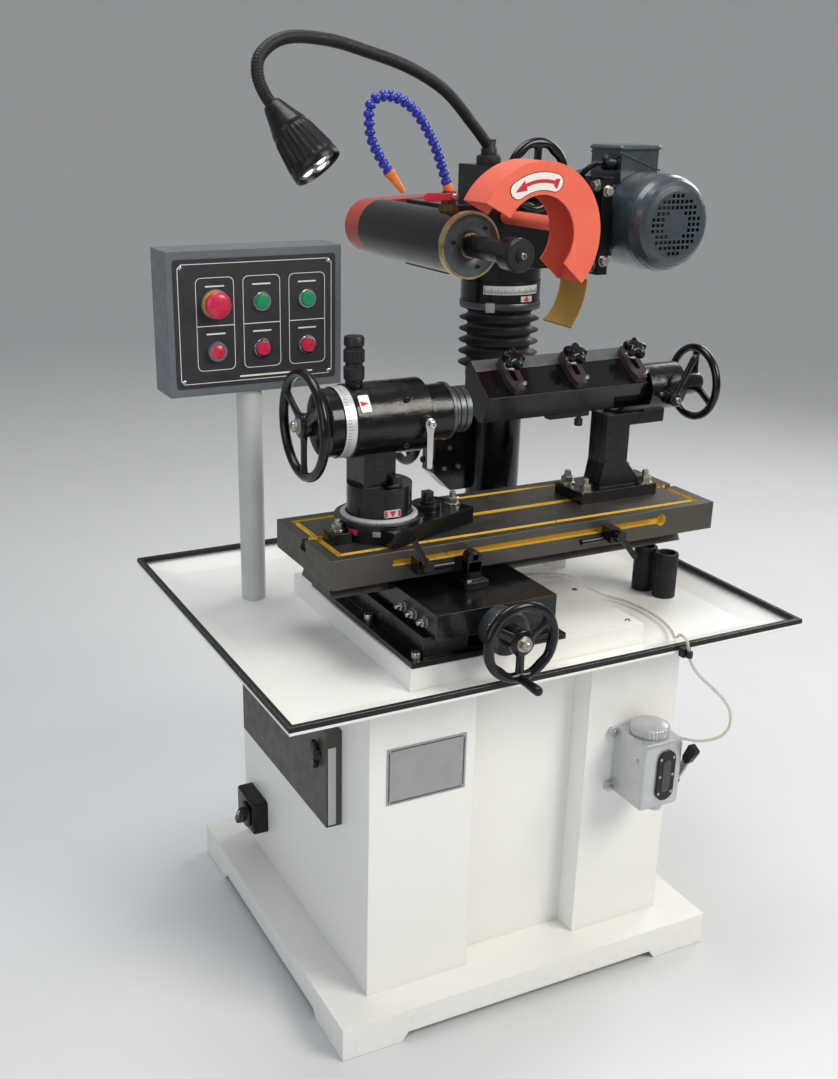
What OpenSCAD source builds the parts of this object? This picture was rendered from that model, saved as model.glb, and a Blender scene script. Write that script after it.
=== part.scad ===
// Tool and cutter grinder: floor machine with cross slide, table, workhead, blade bar and wheelhead
// Millimetres, +Z up, origin at the centre of the plinth footprint on the floor

/* [Plinth and cabinet] */
// Plinth width
plinth_w = 680; // [560:5:900]
// Plinth depth
plinth_d = 620; // [540:5:800]
// Plinth height
plinth_h = 57; // [45:1:90]
// Length of each corner foot
foot_l = 100; // [70:1:160]
// Height of the gaps between the feet
foot_gap = 15; // [8:1:25]
// Anchor hole diameter
anchor_d = 14; // [10:1:20]
// Anchor hole distance from the plinth edges
anchor_in = 45; // [35:1:60]
// Cabinet width
cab_w = 548; // [480:2:620]
// Cabinet depth
cab_d = 520; // [480:2:560]
// Cabinet height
cab_h = 519; // [420:1:640]
// Sheet thickness of plinth, cabinet and tray
sheet = 4; // [2:0.5:6]
// Width of the upright front channel
channel_w = 203; // [120:1:240]
// Depth of the upright front channel
channel_in = 40; // [20:1:60]

/* [Tray and pedestal] */
// Tray width
tray_w = 864; // [760:2:1000]
// Tray depth
tray_d = 692; // [640:2:760]
// Height of the tray rim over its underside
tray_h = 24; // [18:1:24]
// Width of the sloped tray border
slope_w = 52; // [30:1:80]
// Pedestal width
ped_w = 400; // [360:2:440]
// Pedestal depth
ped_d = 416; // [400:2:440]
// Pedestal height
ped_h = 33; // [20:1:60]
// Side of the square column pad
pad_w = 200; // [190:2:230]

/* [Cross slide] */
// Thickness of the flange under the cross-slide base
flange_t = 9; // [6:1:14]
// Width of the cross-slide base
base_w = 214; // [200:2:230]
// Length of the cross-slide base
base_l = 330; // [320:2:350]
// Height of the cross-slide base
base_h = 32; // [24:1:50]
// Saddle width
sad_w = 195; // [180:1:205]
// Saddle length
sad_l = 310; // [300:2:320]
// Saddle height
sad_h = 39; // [37:1:56]
// Dovetail depth
dove_h = 14; // [12:0.5:15]
// Narrow half width of the dovetails
dove_w = 46; // [36:1:50]
// Sideways flare of the dovetails
dove_out = 8; // [5:0.5:10]
// Feed screw radius
screw_r = 6; // [4:0.5:6]
// Cross-feed handwheel diameter
cross_d = 120; // [100:1:120]

/* [Table] */
// Table length
table_l = 668; // [620:2:720]
// Table depth
table_d = 204; // [190:2:216]
// Table thickness
table_h = 44; // [38:1:56]
// Gap between the saddle top and the table underside
table_rise = 19; // [15:1:30]
// T-slot mouth width
slot_w = 12; // [10:0.5:14]
// T-slot foot width
slot_foot = 20; // [17:0.5:22]
// Gutter width
gutter_w = 9; // [6:0.5:12]
// Gutter depth
gutter_h = 5; // [3:0.5:8]

/* [Workhead] */
// Workhead axis over the table
wh_rise = 171; // [160:1:190]
// Workhead base height
wh_base_h = 24; // [18:1:30]
// Workhead housing radius
wh_r = 53; // [46:1:58]
// Workhead spindle radius
wh_shaft_r = 22; // [18:0.5:28]
// Workhead socket radius
wh_bore_r = 12; // [8:0.5:14]
// Workhead handwheel diameter
wh_wheel_d = 160; // [140:2:200]

/* [Blade bar] */
// Blade bar axis over the table
vb_rise = 169; // [160:1:185]
// Blade bar length past its outer clamps
bar_ends = 66; // [50:1:80]
// Blade bar shaft radius
vb_shaft_r = 20; // [14:0.5:24]
// Blade bar housing radius
vb_r = 37.5; // [32:0.5:42]
// Blade bar handwheel diameter
vb_wheel_d = 124; // [110:2:150]
// Clamp spacing along the bar
clamp_pitch = 112; // [80:1:120]

/* [Column] */
// Column radius
col_r = 46; // [43:0.5:50]
// Column height over the pedestal
col_h = 317; // [290:1:360]
// Ram radius
ram_r = 34; // [30:0.5:37]
// Bellows length at rest
bellows_l = 113; // [95:1:140]
// Bellows outer radius
bellows_r = 67; // [65:0.5:70]
// Bellows folds
folds = 5; // [4:1:8]
// Graduated flange radius
dial_r = 66; // [63:0.5:70]
// Graduated flange height
dial_h = 33; // [26:1:40]
// Elevating handwheel diameter
elev_d = 125; // [100:1:135]

/* [Wheelhead] */
// Spindle axis over the graduated flange
spin_rise = 74; // [66:1:84]
// Spindle housing radius
house_r = 46; // [44:0.5:54]
// Spindle radius
spin_r = 16.5; // [14:0.5:19]
// Spindle nose flange radius
nose_r = 24; // [21:0.5:28]
// Spindle bearing outer radius
bear_r = 36; // [32:0.5:40]
// Pulley radius at the belt
pulley_r = 30; // [24:0.5:31]
// Belt thickness
belt_t = 5; // [3:0.5:6]
// Belt width
belt_w = 20; // [14:1:24]
// Motor radius
motor_r = 75; // [70:0.5:78]
// Motor shaft radius
mshaft_r = 12; // [9:0.5:14]
// Wheel guard outer radius
guard_r = 104; // [98:1:106]
// Wheel guard opening radius
guard_in = 58; // [54:1:62]
// Wheel guard width
guard_w = 64; // [56:1:66]
// Second handwheel diameter
fine_d = 114; // [90:1:120]

/* [Controls] */
// Control box width
ctl_w = 279; // [250:1:300]
// Control box height
ctl_h = 214; // [190:1:230]
// Control box depth
ctl_d = 72; // [60:1:90]
// Control post radius
post_r = 20; // [16:0.5:24]
// Push button radius
push_r = 11; // [9:0.5:13]
// Stop button radius
stop_r = 20; // [17:0.5:24]

/* [Details] */
// Running clearance of round fits
run_gap = 0.05; // [0.02:0.01:0.08]
// Clearance of flat sliding faces
slide_gap = 0.1; // [0.05:0.05:0.2]
// Free gap between parts that never touch
free_gap = 0.5; // [0.4:0.1:1]

/* [Hidden] */
$fn = 64;

// Overrun of every cut
over = 1;

// Heights of the stack
cab_top = plinth_h + cab_h;
floor_z = cab_top + sheet;
rim_z = cab_top + tray_h;
ped_top = floor_z + ped_h;
base_z = ped_top + flange_t;
sad_z = base_z + base_h;
sad_top = sad_z + sad_h;
tab_z = sad_top + table_rise;
tab_top = tab_z + table_h;
wh_z = tab_top + wh_rise;
vb_z = tab_top + vb_rise;
col_top = ped_top + col_h;
dial_z = col_top + bellows_l;
dial_top = dial_z + dial_h;
spin_z = dial_top + spin_rise;

// Cabinet and tray places
cab_y = 5;
cab_front = cab_y - cab_d / 2;
cab_back = cab_y + cab_d / 2;
channel_x = 3.5;
tray_y = 3;
rim_share = 0.52;
pad_t = 12;
pad_l = foot_l - 2 * sheet;
foot_cut = 12;

// Pedestal and column places
ped_x = -24;
ped_y = -71;
col_x = 157;
col_y = 145;
foot_r = 90;
foot_h = 22;
collar_r = 54;
collar_h = 16;

// Cross slide places
slide_x = -92.5;
flange_side = 41;
flange_end = 20;
flange_front = 7;
flange_w = base_w + flange_side;
flange_l = base_l + flange_end;
base_y0 = -270;
flange_y0 = base_y0 - flange_front;
sad_y0 = -290;
end_t = 12;
dove_y0 = -212;
screw_z = sad_z + dove_h / 2;
chan_gap = 4;
chan_r = screw_r + chan_gap;
nut_y0 = -70;
nut_l = 34;
wheel_y = -352;
hub_share = 0.16;
rim_t = 7;
spoke_w = 12;
spoke_t = 8;
screw_end = 0;
hub_room = 2;
feed_dial_r = 33;
feed_dial_l = 34;
hub_clear = feed_dial_r + hub_room;
crank_l = 52;
crank_r = 8;

// Table places
tab_x = 31;
tab_y = -89;
rail_in = 20;
gutter_in = 16;
slot_h = 18;
slot_foot_h = 8;
face_slot_l = 472;
face_slot_x = 27;
face_slot_h = 9;
face_slot_in = 12;
face_slot_share = 0.62;
face_slot_z = tab_z + table_h * face_slot_share;
tab_front = tab_y - table_d / 2;

// Table stop places
dog_w = 17;
dog_d = 24;
dog_h = 22;
dog_lx = -171.5;
dog_rx = 158.5;
dog_drop = 4;
dog_z = face_slot_z - dog_h / 2 - dog_drop;
dog_screw_r = 4.5;
dog_screw_share = 0.23;
dog_screw_l = 46;
stud_r = 4.5;
stud_in = 12;
stud_out = 5;
arm_r = 4.5;
lever_w = 11;
lever_l_ang = -28;
lever_r_ang = 141;
lever_l_len = 50;
lever_r_len = 50;
stop_x = -90;
stop_w = 24;
stop_d = 18;
stop_front = 19;
stop_y = tab_front - stop_front;
stop_foot_w = 40;
stop_foot_d = 36;
stop_foot_h = 12;
stop_over = 10;
stop_top = dog_z + dog_h + stop_over;

// Workhead places
wh_x = -185;
wh_y = -97;
wh_disc_r = 66;
wh_disc_h = 4;
wh_drum_r = 48;
wh_pivot_r = 22;
spigot_r = 30;
spigot_h = 15;
wh_drum_h = 48;
wh_plate_l = 177;
wh_plate_d = 76;
wh_turn = 20.7;
wh_plate_x = -203;
wh_plate_y = -183;
wh_boss_r = 22;
wh_boss_x = -105;
wh_boss_y = -98;
wh_boss_h = 10;
wh_h0 = -243;
wh_h1 = -126;
wh_h2 = -79;
wh_nose_share = 0.77;
wh_nose_r = wh_r * wh_nose_share;
wh_pillar_in = 19;
wh_pillar_l = 50;
wh_pillar_d = 60;
wh_disc_l = 36;
wh_tail = 12;
wh_end = wh_h0 - wh_disc_l - wh_tail;
wh_ring_r = 34;
wh_ring_l = 29;
wh_ring_n = 3;
wh_groove = 2;
wh_index_r = 50;
wh_socket_l = 80;
wh_wheel_gap = 13;
wh_wheel_x = wh_end - wh_wheel_gap;
wh_hub_l = 50;
plunger_x = -227;
plunger_r = 8;
plunger_knob_r = 15;
plunger_boss_r = 12.5;
plunger_boss_h = 5;
plunger_boss_z = wh_z + wh_r + plunger_boss_h;
plunger_in = 30;
plunger_h = 62;
whl_x = -137;
whl_len = 65;
whl_w = 10;
whl_t = 6;

// Blade bar places
vb_y = -80;
vb_x0 = -12;
vb_gap = 5;
bar_l = 2 * clamp_pitch + bar_ends;
vb_h0 = vb_x0 + bar_l + vb_gap;
vb_house_l = 67;
vb_h1 = vb_h0 + vb_house_l;
vb_post_gap = 27;
vb_post_l = 44;
vb_post_x1 = vb_h0 - vb_post_gap;
vb_post_x0 = vb_post_x1 - vb_post_l;
vb_base_left = 51;
vb_base_right = 51;
vb_base_x0 = vb_post_x0 - vb_base_left;
vb_base_x1 = vb_post_x1 + vb_base_right;
vb_base_y0 = -118;
vb_base_y1 = -44;
vb_base_h = 18;
vb_post_d = 44;
vb_foot_left = 6;
vb_foot_right = 26;
vb_foot_h = 38;
vb_foot_lip = 6;
vb_web_in = 40;
vb_web_d = 40;
vb_shelf_t = 20;
vb_shelf_in = 4;
vb_shelf_z = vb_z - vb_r + vb_shelf_in;
vb_cradle_in = 22;
vb_cradle_r = 31;
vb_cradle_drop = 20;
vb_wheel_gap = 44;
vb_wheel_x = vb_h1 + vb_wheel_gap;
vb_hub_l = 40;
bar_a = [-30, 15];
bar_b = [30, 61];
bar_c = [42, 45];
bar_d = [42, 4];
bar_e = [0, -25];
bar_f = [-14, -25];
bar_ang = atan2(bar_b[1] - bar_a[1], bar_b[0] - bar_a[0]);
bar_len = sqrt(pow(bar_b[0] - bar_a[0], 2) + pow(bar_b[1] - bar_a[1], 2));
clamp_w = 27;
clamp_l = 66;
clamp_t = 11;
clamp_slot = 9;
clamp_x0 = 40;
clamp_at_share = 0.64;
clamp_start_share = 0.04;
knob_r = 20;
knob_h = 19;
knob_lobe_r = 8;
knob_lobes = 5;
knob_stem_r = 4;
knob_neck = 7;
vbl_in = 29;
vbl_x = vb_h0 + vbl_in;
vbl_drop = 10;
vbl_z = vb_z - vbl_drop;
vbl_len = 72;
vbl_ang = 28;
vbl_boss_r = 10;
vbl_boss = 8;

// Column gear case and elevating wheel places
case_x0 = 42;
case_x1 = 150;
case_y0 = 148;
case_y1 = 190;
case_z0 = 716;
case_drop = 24;
case_z1 = col_top - collar_h - case_drop;
case_cut = 34;
case_wall = 14;
elev_y = 169;
elev_z = 831;
elev_x = -8;
elev_shaft_r = 9;
elev_end = 96;
pinion_r = 15;
pinion_l = 20;
ram_z0 = 700;
ram_down = 14;
fold_in = 17;
fold_t = 2.5;
fold_ring = 4;
half_share = 0.5;

// Wheelhead places
spin_x = 5;
house_y0 = 0;
house_y1 = 284;
cap_t = 12;
cap_lip = 3.5;
cap_r = house_r + cap_lip;
nose_y = -145;
nose_t = 24;
bear_t = 20;
bear_in = 14;
head_x0 = 20;
head_y0 = 86;
head_y1 = 226;
head_rise = 50;
head_top = spin_z + head_rise;
drum_h = 20;
tower_x0 = 96;
tower_x1 = 212;
tower_y0 = 96;
tower_y1 = 192;
tower_rise = 106;
tower_top = spin_z + tower_rise;
mplate_x = 288;
mplate_t = 20;
mplate_y0 = 60;
mplate_y1 = 244;
mplate_drop = 66;
mplate_rise = 88;
mplate_z0 = spin_z - mplate_drop;
mplate_z1 = spin_z + mplate_rise;
motor_x = 390;
motor_rise = 16;
motor_z = spin_z + motor_rise;
motor_y0 = 74;
motor_y1 = 250;
motor_bore = 58;
motor_foot_h = 56;
motor_foot_y0 = 90;
motor_foot_y1 = 214;
motor_shield_t = 12;
motor_nose_r = 34;
box_x0 = 342;
box_x1 = 416;
box_y0 = 88;
box_y1 = 172;
box_h = 38;
rotor_gap = 1;
rotor_r = motor_bore - rotor_gap;
rotor_y0 = 118;
rotor_y1 = 222;
fan_r = 60;
fan_y0 = 30;
fan_y1 = 46;
fan_front = -4;
fan_flat_r = 52;
fan_dome = 34;
fan_steps = 5;
fan_wall = 2.5;
fan_lap = 12;
grille_pitch = 9;
grille_hole = 6;
grille_n = 5;
grille_r = 47;
grille_in = 21;
belt_y0 = 300;
guard_front = house_y1;
guard_back = 340;
guard_wall = 3;
bg_r = 44;
bg_hole_r = 28;
belt_ang = atan2(motor_z - spin_z, motor_x - spin_x);
belt_l = sqrt(pow(motor_x - spin_x, 2) + pow(motor_z - spin_z, 2));
pulley_lip = 3;
pulley_lip_t = 2;
gx = 60;
guard_rise = 20;
gz = spin_z + guard_rise;
g_y0 = -112;
g_start = -42;
g_turn = 194;
g_wall = 3;
arm_x = 125;
arm_rise = 30;
arm_z = spin_z + arm_rise;
garm_r = 11;
garm_in = 34;
fine_x = 165;
fine_rise = 92;
fine_z = spin_z + fine_rise;
fine_y = 66;
fine_shaft_r = 8;
fine_in = 26;

// Control places
post_in = 138;
post_x = post_in - tray_w / 2;
post_y = 144;
ctl_shift = 6;
ctl_x = post_x + ctl_shift;
ctl_y = 154;
ctl_z = 1038;
ctl_z0 = ctl_z - ctl_h / 2;
ctl_front = ctl_y - ctl_d / 2;
ctl_wall = 3;
col_off = [-66, 8, 82];
row_off = [29, -41];
bezel_lip = 3.5;
bezel_r = push_r + bezel_lip;
bezel_t = 4;
push_out = 5;
push_in = 24;
stop_stem_r = 11;
stop_cap_t = 10;
stop_gap = 9;
stop_ring_r = 22;

// Electrical door and main switch places
door_y0 = -162;
door_y1 = 195;
door_z0 = 312;
door_z1 = 474;
door_d = 26;
door_wall = 3;
door_hole_in = 24;
hinge_r = 4;
hinge_out = 5;
hinge_back = 3;
hinge_l = 14;
hinge_x = -cab_w / 2 - hinge_out;
hinge_y = door_y1 + hinge_back;
knob_y = -132;
knob_z = 427;
knob_wing_w = 44;
knob_wing_h = 15;
knob_wing_t = 10;
sw_y0 = 153;
sw_y1 = 235;
sw_z0 = 114;
sw_z1 = 176;
sw_d = 28;
sw_shaft_r = 6;
sw_in = 14;
sw_disc_r = 24;
sw_ang = 35;
sw_front = 12;
sw_disc_t = 6;
sw_bar_w = 14;
sw_bar_l = 50;
sw_bar_t = 14;

// Oil pump places
pump_x0 = 157;
pump_x1 = 230;
pump_y0 = -335;
pump_z0 = 318;
pump_z1 = 432;
pump_wall = 5;
pump_ear_w = 10;
pump_ear_h = 16;
pump_ear_t = 8;
pump_cap_r = 31;
pump_cap_h = 18;
pump_cyl_r = 13;
pump_cyl_z = 300;
pump_win_w = 30;
pump_win_z0 = 336;
pump_win_z1 = 414;
pump_win_t = 4;
pl_y = -308;
pl_z = 342;
pl_len = 74;
pl_ang = 28;
pl_w = 12;
pl_t = 7;
pl_out = 8;
pl_grip_r = 10;
pl_grip_l = 26;

// Lamp places
lamp_x = 121;
lamp_y = 140;
lamp_foot_r = 20;
lamp_foot_h = 20;
neck_r = 9;
neck_ribs = 26;
neck_sides = 10;
neck_ref = [0.1, 1, 0];
lamp_tip = [-237, 0, 1262];
lamp_from = [-282, 52, 1342];
shade_r = 37;
shade_neck_r = 16;
shade_wall = 3;
neck_route = [[121, 140, 1276], [119, 140, 1284], [85, 135, 1318], [31, 128, 1365], [-40, 118, 1398],
    [-122, 108, 1420], [-170, 100, 1430], [-222, 92, 1434], [-256, 84, 1430], [-281, 76, 1418],
    [-297, 68, 1402], [-300, 62, 1380], [-292, 58, 1358], [-282, 52, 1342]];

// Coolant hose places
valve_y = 60;
valve_r = 8;
valve_foot_r = 12;
valve_rise = 72;
valve_z = spin_z + valve_rise;
hose_r = 6.5;
hose_waist_share = 0.7;
hose_rings = 60;
hose_sides = 8;
hose_ref = [0, 1, 0.05];
hose_route = [[5, 60, 1222], [-2, 60, 1241], [-10, 60, 1262], [-18, 60, 1281], [-30, 60, 1303],
    [-44, 60, 1323], [-58, 60, 1339], [-77, 60, 1351], [-96, 60, 1357], [-114, 60, 1356], [-126, 60, 1349],
    [-131, 60, 1336], [-130, 60, 1316], [-126, 60, 1297], [-112, 60, 1272], [-94, 60, 1248]];
nozzle_tip = [-73, 60, 1224];
nozzle_r = 5;
vl_in = 6;
vl_rise = 66;
vl_z = spin_z + vl_rise;
vl_len = 30;
vl_r = 3.5;
vl_w = 9;
vl_t = 4;

// Oil tube places
tube_r = 2.2;
tube_sides = 8;
tube_ref = [0.31, 0.12, 0.94];
tube_route = [[230, -300, 420], [248, -312, 416], [268, -330, 416], [290, -346, 426], [300, -354, 446],
    [294, -358, 474], [278, -360, 498], [252, -360, 524], [222, -360, 552], [204, -360, 576],
    [198, -359, 596], [198, -354, 608], [198, -345, 613], [200, -334, 611], [205, -322, 602],
    [216, -304, 593], [232, -280, 588], [246, -248, 586], [253, -212, 586], [253, -176, 586],
    [246, -138, 586], [228, -108, 588],
    [204, -86, 600], [184, -74, 616], [150, -66, 622], [104, -62, 628], [60, -60, 634], [36, -60, 636],
    [14.5, -60, 636]];

// Box between two corners
module bx(a, b) {
    translate(a) cube(b - a);
}

// Round bar along X
module rx(x0, x1, y, z, r) {
    translate([x0, y, z]) rotate([0, 90, 0]) cylinder(h = x1 - x0, r = r);
}

// Round bar along Y
module ry(y0, y1, x, z, r) {
    translate([x, y0, z]) rotate([-90, 0, 0]) cylinder(h = y1 - y0, r = r);
}

// Round bar along Z
module rz(z0, z1, x, y, r) {
    translate([x, y, z0]) cylinder(h = z1 - z0, r = r);
}

// Profile in XZ run along Y
module along_y(y0, y1, pts) {
    translate([0, y1, 0]) rotate([90, 0, 0]) linear_extrude(height = y1 - y0) polygon(pts);
}

// Profile in YZ run along X
module along_x(x0, x1, pts) {
    translate([x0, 0, 0]) rotate([90, 0, 90]) linear_extrude(height = x1 - x0) polygon(pts);
}

// Three-spoke handwheel about Z, rim centred on z = 0
module spoked(d, rim, hub_r, hub_z0, hub_z1, start = 90) {
    rotate_extrude() translate([d / 2 - rim, 0]) circle(r = rim);
    for (i = [0 : 2]) rotate([0, 0, start + i * 120])
        translate([0, -spoke_w / 2, -spoke_t / 2]) cube([d / 2 - rim, spoke_w, spoke_t]);
    translate([0, 0, hub_z0]) cylinder(h = hub_z1 - hub_z0, r = hub_r);
}

// Swept round form through route points with a radius for each ring
function unit(v) = v / norm(v);
function heading(p, i) = unit(p[min(i + 1, len(p) - 1)] - p[max(i - 1, 0)]);
function side_of(h, ref) = unit(cross(h, ref));
function ring_at(c, h, r, ref, n) = let (a = side_of(h, ref), b = cross(h, a))
    [for (k = [0 : n - 1]) c + r * (cos(360 * k / n) * a + sin(360 * k / n) * b)];
module sweep(p, radii, ref, n) {
    m = len(p);
    pts = [for (i = [0 : m - 1]) each ring_at(p[i], heading(p, i), radii[i], ref, n)];
    walls = [for (i = [0 : m - 2], k = [0 : n - 1])
        each [[i * n + k, (i + 1) * n + (k + 1) % n, i * n + (k + 1) % n],
              [i * n + k, (i + 1) * n + k, (i + 1) * n + (k + 1) % n]]];
    first = [for (k = [1 : n - 2]) [0, k, k + 1]];
    last = [for (k = [1 : n - 2]) [(m - 1) * n, (m - 1) * n + k + 1, (m - 1) * n + k]];
    polyhedron(points = pts, faces = concat(walls, first, last));
}

// Points spread evenly along a route
function route_at(p, t) = let (i = min(floor(t), len(p) - 2), f = t - i) p[i] * (1 - f) + p[i + 1] * f;
function spread(p, n) = [for (i = [0 : n]) route_at(p, i * (len(p) - 1) / n)];

module plinth() {
    color("white") {
        difference() {
            bx([-plinth_w / 2, -plinth_d / 2, 0], [plinth_w / 2, plinth_d / 2, plinth_h]);
            bx([-plinth_w / 2 + sheet, -plinth_d / 2 + sheet, -over],
                [plinth_w / 2 - sheet, plinth_d / 2 - sheet, plinth_h - sheet]);
            along_y(-plinth_d / 2 - over, plinth_d / 2 + over, [[-plinth_w / 2 + foot_l, -over],
                [plinth_w / 2 - foot_l, -over], [plinth_w / 2 - foot_l - foot_cut, foot_gap],
                [-plinth_w / 2 + foot_l + foot_cut, foot_gap]]);
            along_x(-plinth_w / 2 - over, plinth_w / 2 + over, [[-plinth_d / 2 + foot_l, -over],
                [plinth_d / 2 - foot_l, -over], [plinth_d / 2 - foot_l - foot_cut, foot_gap],
                [-plinth_d / 2 + foot_l + foot_cut, foot_gap]]);
        }
        for (sx = [-1, 1], sy = [-1, 1]) difference() {
            translate([sx * (plinth_w / 2 - sheet - pad_l / 2), sy * (plinth_d / 2 - sheet - pad_l / 2),
                pad_t / 2])
                cube([pad_l + sheet, pad_l + sheet, pad_t], center = true);
            rz(-over, pad_t + over, sx * (plinth_w / 2 - anchor_in), sy * (plinth_d / 2 - anchor_in),
                anchor_d / 2);
        }
    }
}

function cab_plan(t) = [[-cab_w / 2 + t, cab_front + t], [channel_x - channel_w / 2 - t, cab_front + t],
    [channel_x - channel_w / 2 - t, cab_front + channel_in + t],
    [channel_x + channel_w / 2 + t, cab_front + channel_in + t],
    [channel_x + channel_w / 2 + t, cab_front + t],
    [cab_w / 2 - t, cab_front + t], [cab_w / 2 - t, cab_back - t], [-cab_w / 2 + t, cab_back - t]];

module cabinet() {
    color("white") {
        difference() {
            translate([0, 0, plinth_h]) linear_extrude(height = cab_h) polygon(cab_plan(0));
            translate([0, 0, plinth_h - over]) linear_extrude(height = cab_h + over - sheet)
                polygon(cab_plan(sheet));
            bx([-cab_w / 2 - over, door_y0 + door_hole_in, door_z0 + door_hole_in],
                [-cab_w / 2 + sheet + over, door_y1 - door_hole_in, door_z1 - door_hole_in]);
        }
        for (z = [door_z0 - free_gap - hinge_l, door_z1 + free_gap]) {
            rz(z, z + hinge_l, hinge_x, hinge_y, hinge_r);
            bx([hinge_x, hinge_y - hinge_r / 2, z],
                [-cab_w / 2 + sheet / 2, hinge_y + hinge_r / 2, z + hinge_l]);
        }
    }
}

function dish(half, c, t) = [[c - half + t, rim_z + (t > 0 ? over : 0)],
    [c - half + t, rim_z - tray_h * rim_share + t * rim_share],
    [c - half + slope_w + t * rim_share, cab_top + t],
    [c + half - slope_w - t * rim_share, cab_top + t],
    [c + half - t, rim_z - tray_h * rim_share + t * rim_share], [c + half - t, rim_z + (t > 0 ? over : 0)]];

module dish_form(t) {
    intersection() {
        along_y(tray_y - tray_d / 2 - over, tray_y + tray_d / 2 + over, dish(tray_w / 2, 0, t));
        along_x(-tray_w / 2 - over, tray_w / 2 + over, dish(tray_d / 2, tray_y, t));
    }
}

module tray() {
    color("white") difference() {
        dish_form(0);
        dish_form(sheet);
    }
}

module pedestal() {
    color("white") {
        bx([ped_x - ped_w / 2, ped_y - ped_d / 2, floor_z], [ped_x + ped_w / 2, ped_y + ped_d / 2, ped_top]);
        bx([col_x - pad_w / 2, col_y - pad_w / 2, floor_z], [col_x + pad_w / 2, col_y + pad_w / 2, ped_top]);
    }
}

// Dovetail profile growing upwards from z, widened by a clearance
function dove_up(c, z, g) = [[c - dove_w - g, z - g], [c + dove_w + g, z - g],
    [c + dove_w + dove_out + g, z + dove_h + g], [c - dove_w - dove_out - g, z + dove_h + g]];

module cross_base() {
    color("black") difference() {
        union() {
            bx([slide_x - flange_w / 2, flange_y0, ped_top],
                [slide_x + flange_w / 2, flange_y0 + flange_l, base_z]);
            bx([slide_x - base_w / 2, base_y0, base_z], [slide_x + base_w / 2, base_y0 + base_l, sad_z]);
            along_y(dove_y0, base_y0 + base_l, dove_up(slide_x, sad_z, 0));
        }
        bx([slide_x - chan_r, base_y0 - over, sad_z - dove_h / 2],
            [slide_x + chan_r, nut_y0, sad_z + dove_h + over]);
        bx([slide_x - chan_r, nut_y0 + nut_l, sad_z - dove_h / 2],
            [slide_x + chan_r, base_y0 + base_l + over, sad_z + dove_h + over]);
        bx([slide_x - hub_clear, base_y0 - over, screw_z - hub_clear],
            [slide_x + hub_clear, dove_y0, sad_z + over]);
        ry(nut_y0 - over, nut_y0 + nut_l + over, slide_x, screw_z, screw_r + run_gap);
    }
}

module cross_screw() {
    color("silver") ry(wheel_y + rim_t, screw_end, slide_x, screw_z, screw_r);
}

module saddle() {
    color("black") difference() {
        bx([slide_x - sad_w / 2, sad_y0, sad_z + slide_gap], [slide_x + sad_w / 2, sad_y0 + sad_l, sad_top]);
        along_y(sad_y0 + end_t, sad_y0 + sad_l + over, dove_up(slide_x, sad_z, slide_gap));
        along_x(slide_x - sad_w / 2 - over, slide_x + sad_w / 2 + over, rail_cut());
        ry(sad_y0 - over, sad_y0 + end_t + over, slide_x, screw_z, screw_r + run_gap);
    }
}

// Slot in the saddle for the table rail
function rail_cut() = [[tab_y - dove_w - dove_out - slide_gap, sad_top - dove_h - slide_gap],
    [tab_y + dove_w + dove_out + slide_gap, sad_top - dove_h - slide_gap],
    [tab_y + dove_w + slide_gap, sad_top], [tab_y + dove_w + slide_gap, sad_top + over],
    [tab_y - dove_w - slide_gap, sad_top + over], [tab_y - dove_w - slide_gap, sad_top]];

module cross_wheel() {
    color("black") translate([slide_x, wheel_y, screw_z]) rotate([90, 0, 0]) {
        difference() {
            union() {
                spoked(cross_d, rim_t, cross_d * hub_share, wheel_y - sad_y0 + free_gap, rim_t, -90);
                translate([0, 0, wheel_y - sad_y0 + free_gap]) cylinder(h = feed_dial_l, r = feed_dial_r);
            }
            translate([0, 0, wheel_y - sad_y0]) cylinder(h = sad_y0 - wheel_y - rim_t, r = screw_r);
        }
        translate([0, rim_t - cross_d / 2, 0]) cylinder(h = crank_l, r = crank_r);
    }
}

module table() {
    color("gray") difference() {
        union() {
            bx([tab_x - table_l / 2, tab_y - table_d / 2, tab_z],
                [tab_x + table_l / 2, tab_y + table_d / 2, tab_top]);
            along_x(tab_x - table_l / 2 + rail_in, tab_x + table_l / 2 - rail_in,
                [[tab_y - dove_w - dove_out, sad_top - dove_h], [tab_y + dove_w + dove_out, sad_top - dove_h],
                [tab_y + dove_w, sad_top], [tab_y + dove_w, tab_z + over],
                [tab_y - dove_w, tab_z + over], [tab_y - dove_w, sad_top]]);
        }
        difference() {
            bx([tab_x - table_l / 2 + gutter_in, tab_y - table_d / 2 + gutter_in, tab_top - gutter_h],
                [tab_x + table_l / 2 - gutter_in, tab_y + table_d / 2 - gutter_in, tab_top + over]);
            bx([tab_x - table_l / 2 + gutter_in + gutter_w,
                tab_y - table_d / 2 + gutter_in + gutter_w, tab_z],
                [tab_x + table_l / 2 - gutter_in - gutter_w, tab_y + table_d / 2 - gutter_in - gutter_w,
                tab_top + 2 * over]);
        }
        bx([tab_x - table_l / 2 - over, tab_y - slot_w / 2, tab_top - slot_h],
            [tab_x + table_l / 2 + over, tab_y + slot_w / 2, tab_top + over]);
        bx([tab_x - table_l / 2 - over, tab_y - slot_foot / 2, tab_top - slot_h],
            [tab_x + table_l / 2 + over, tab_y + slot_foot / 2, tab_top - slot_h + slot_foot_h]);
        bx([face_slot_x - face_slot_l / 2, tab_front - over, face_slot_z - face_slot_h / 2],
            [face_slot_x + face_slot_l / 2, tab_front + face_slot_in, face_slot_z + face_slot_h / 2]);
        ry(tab_front - over, tab_front + face_slot_in, face_slot_x + face_slot_l / 2, face_slot_z,
            face_slot_h);
    }
}

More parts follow.
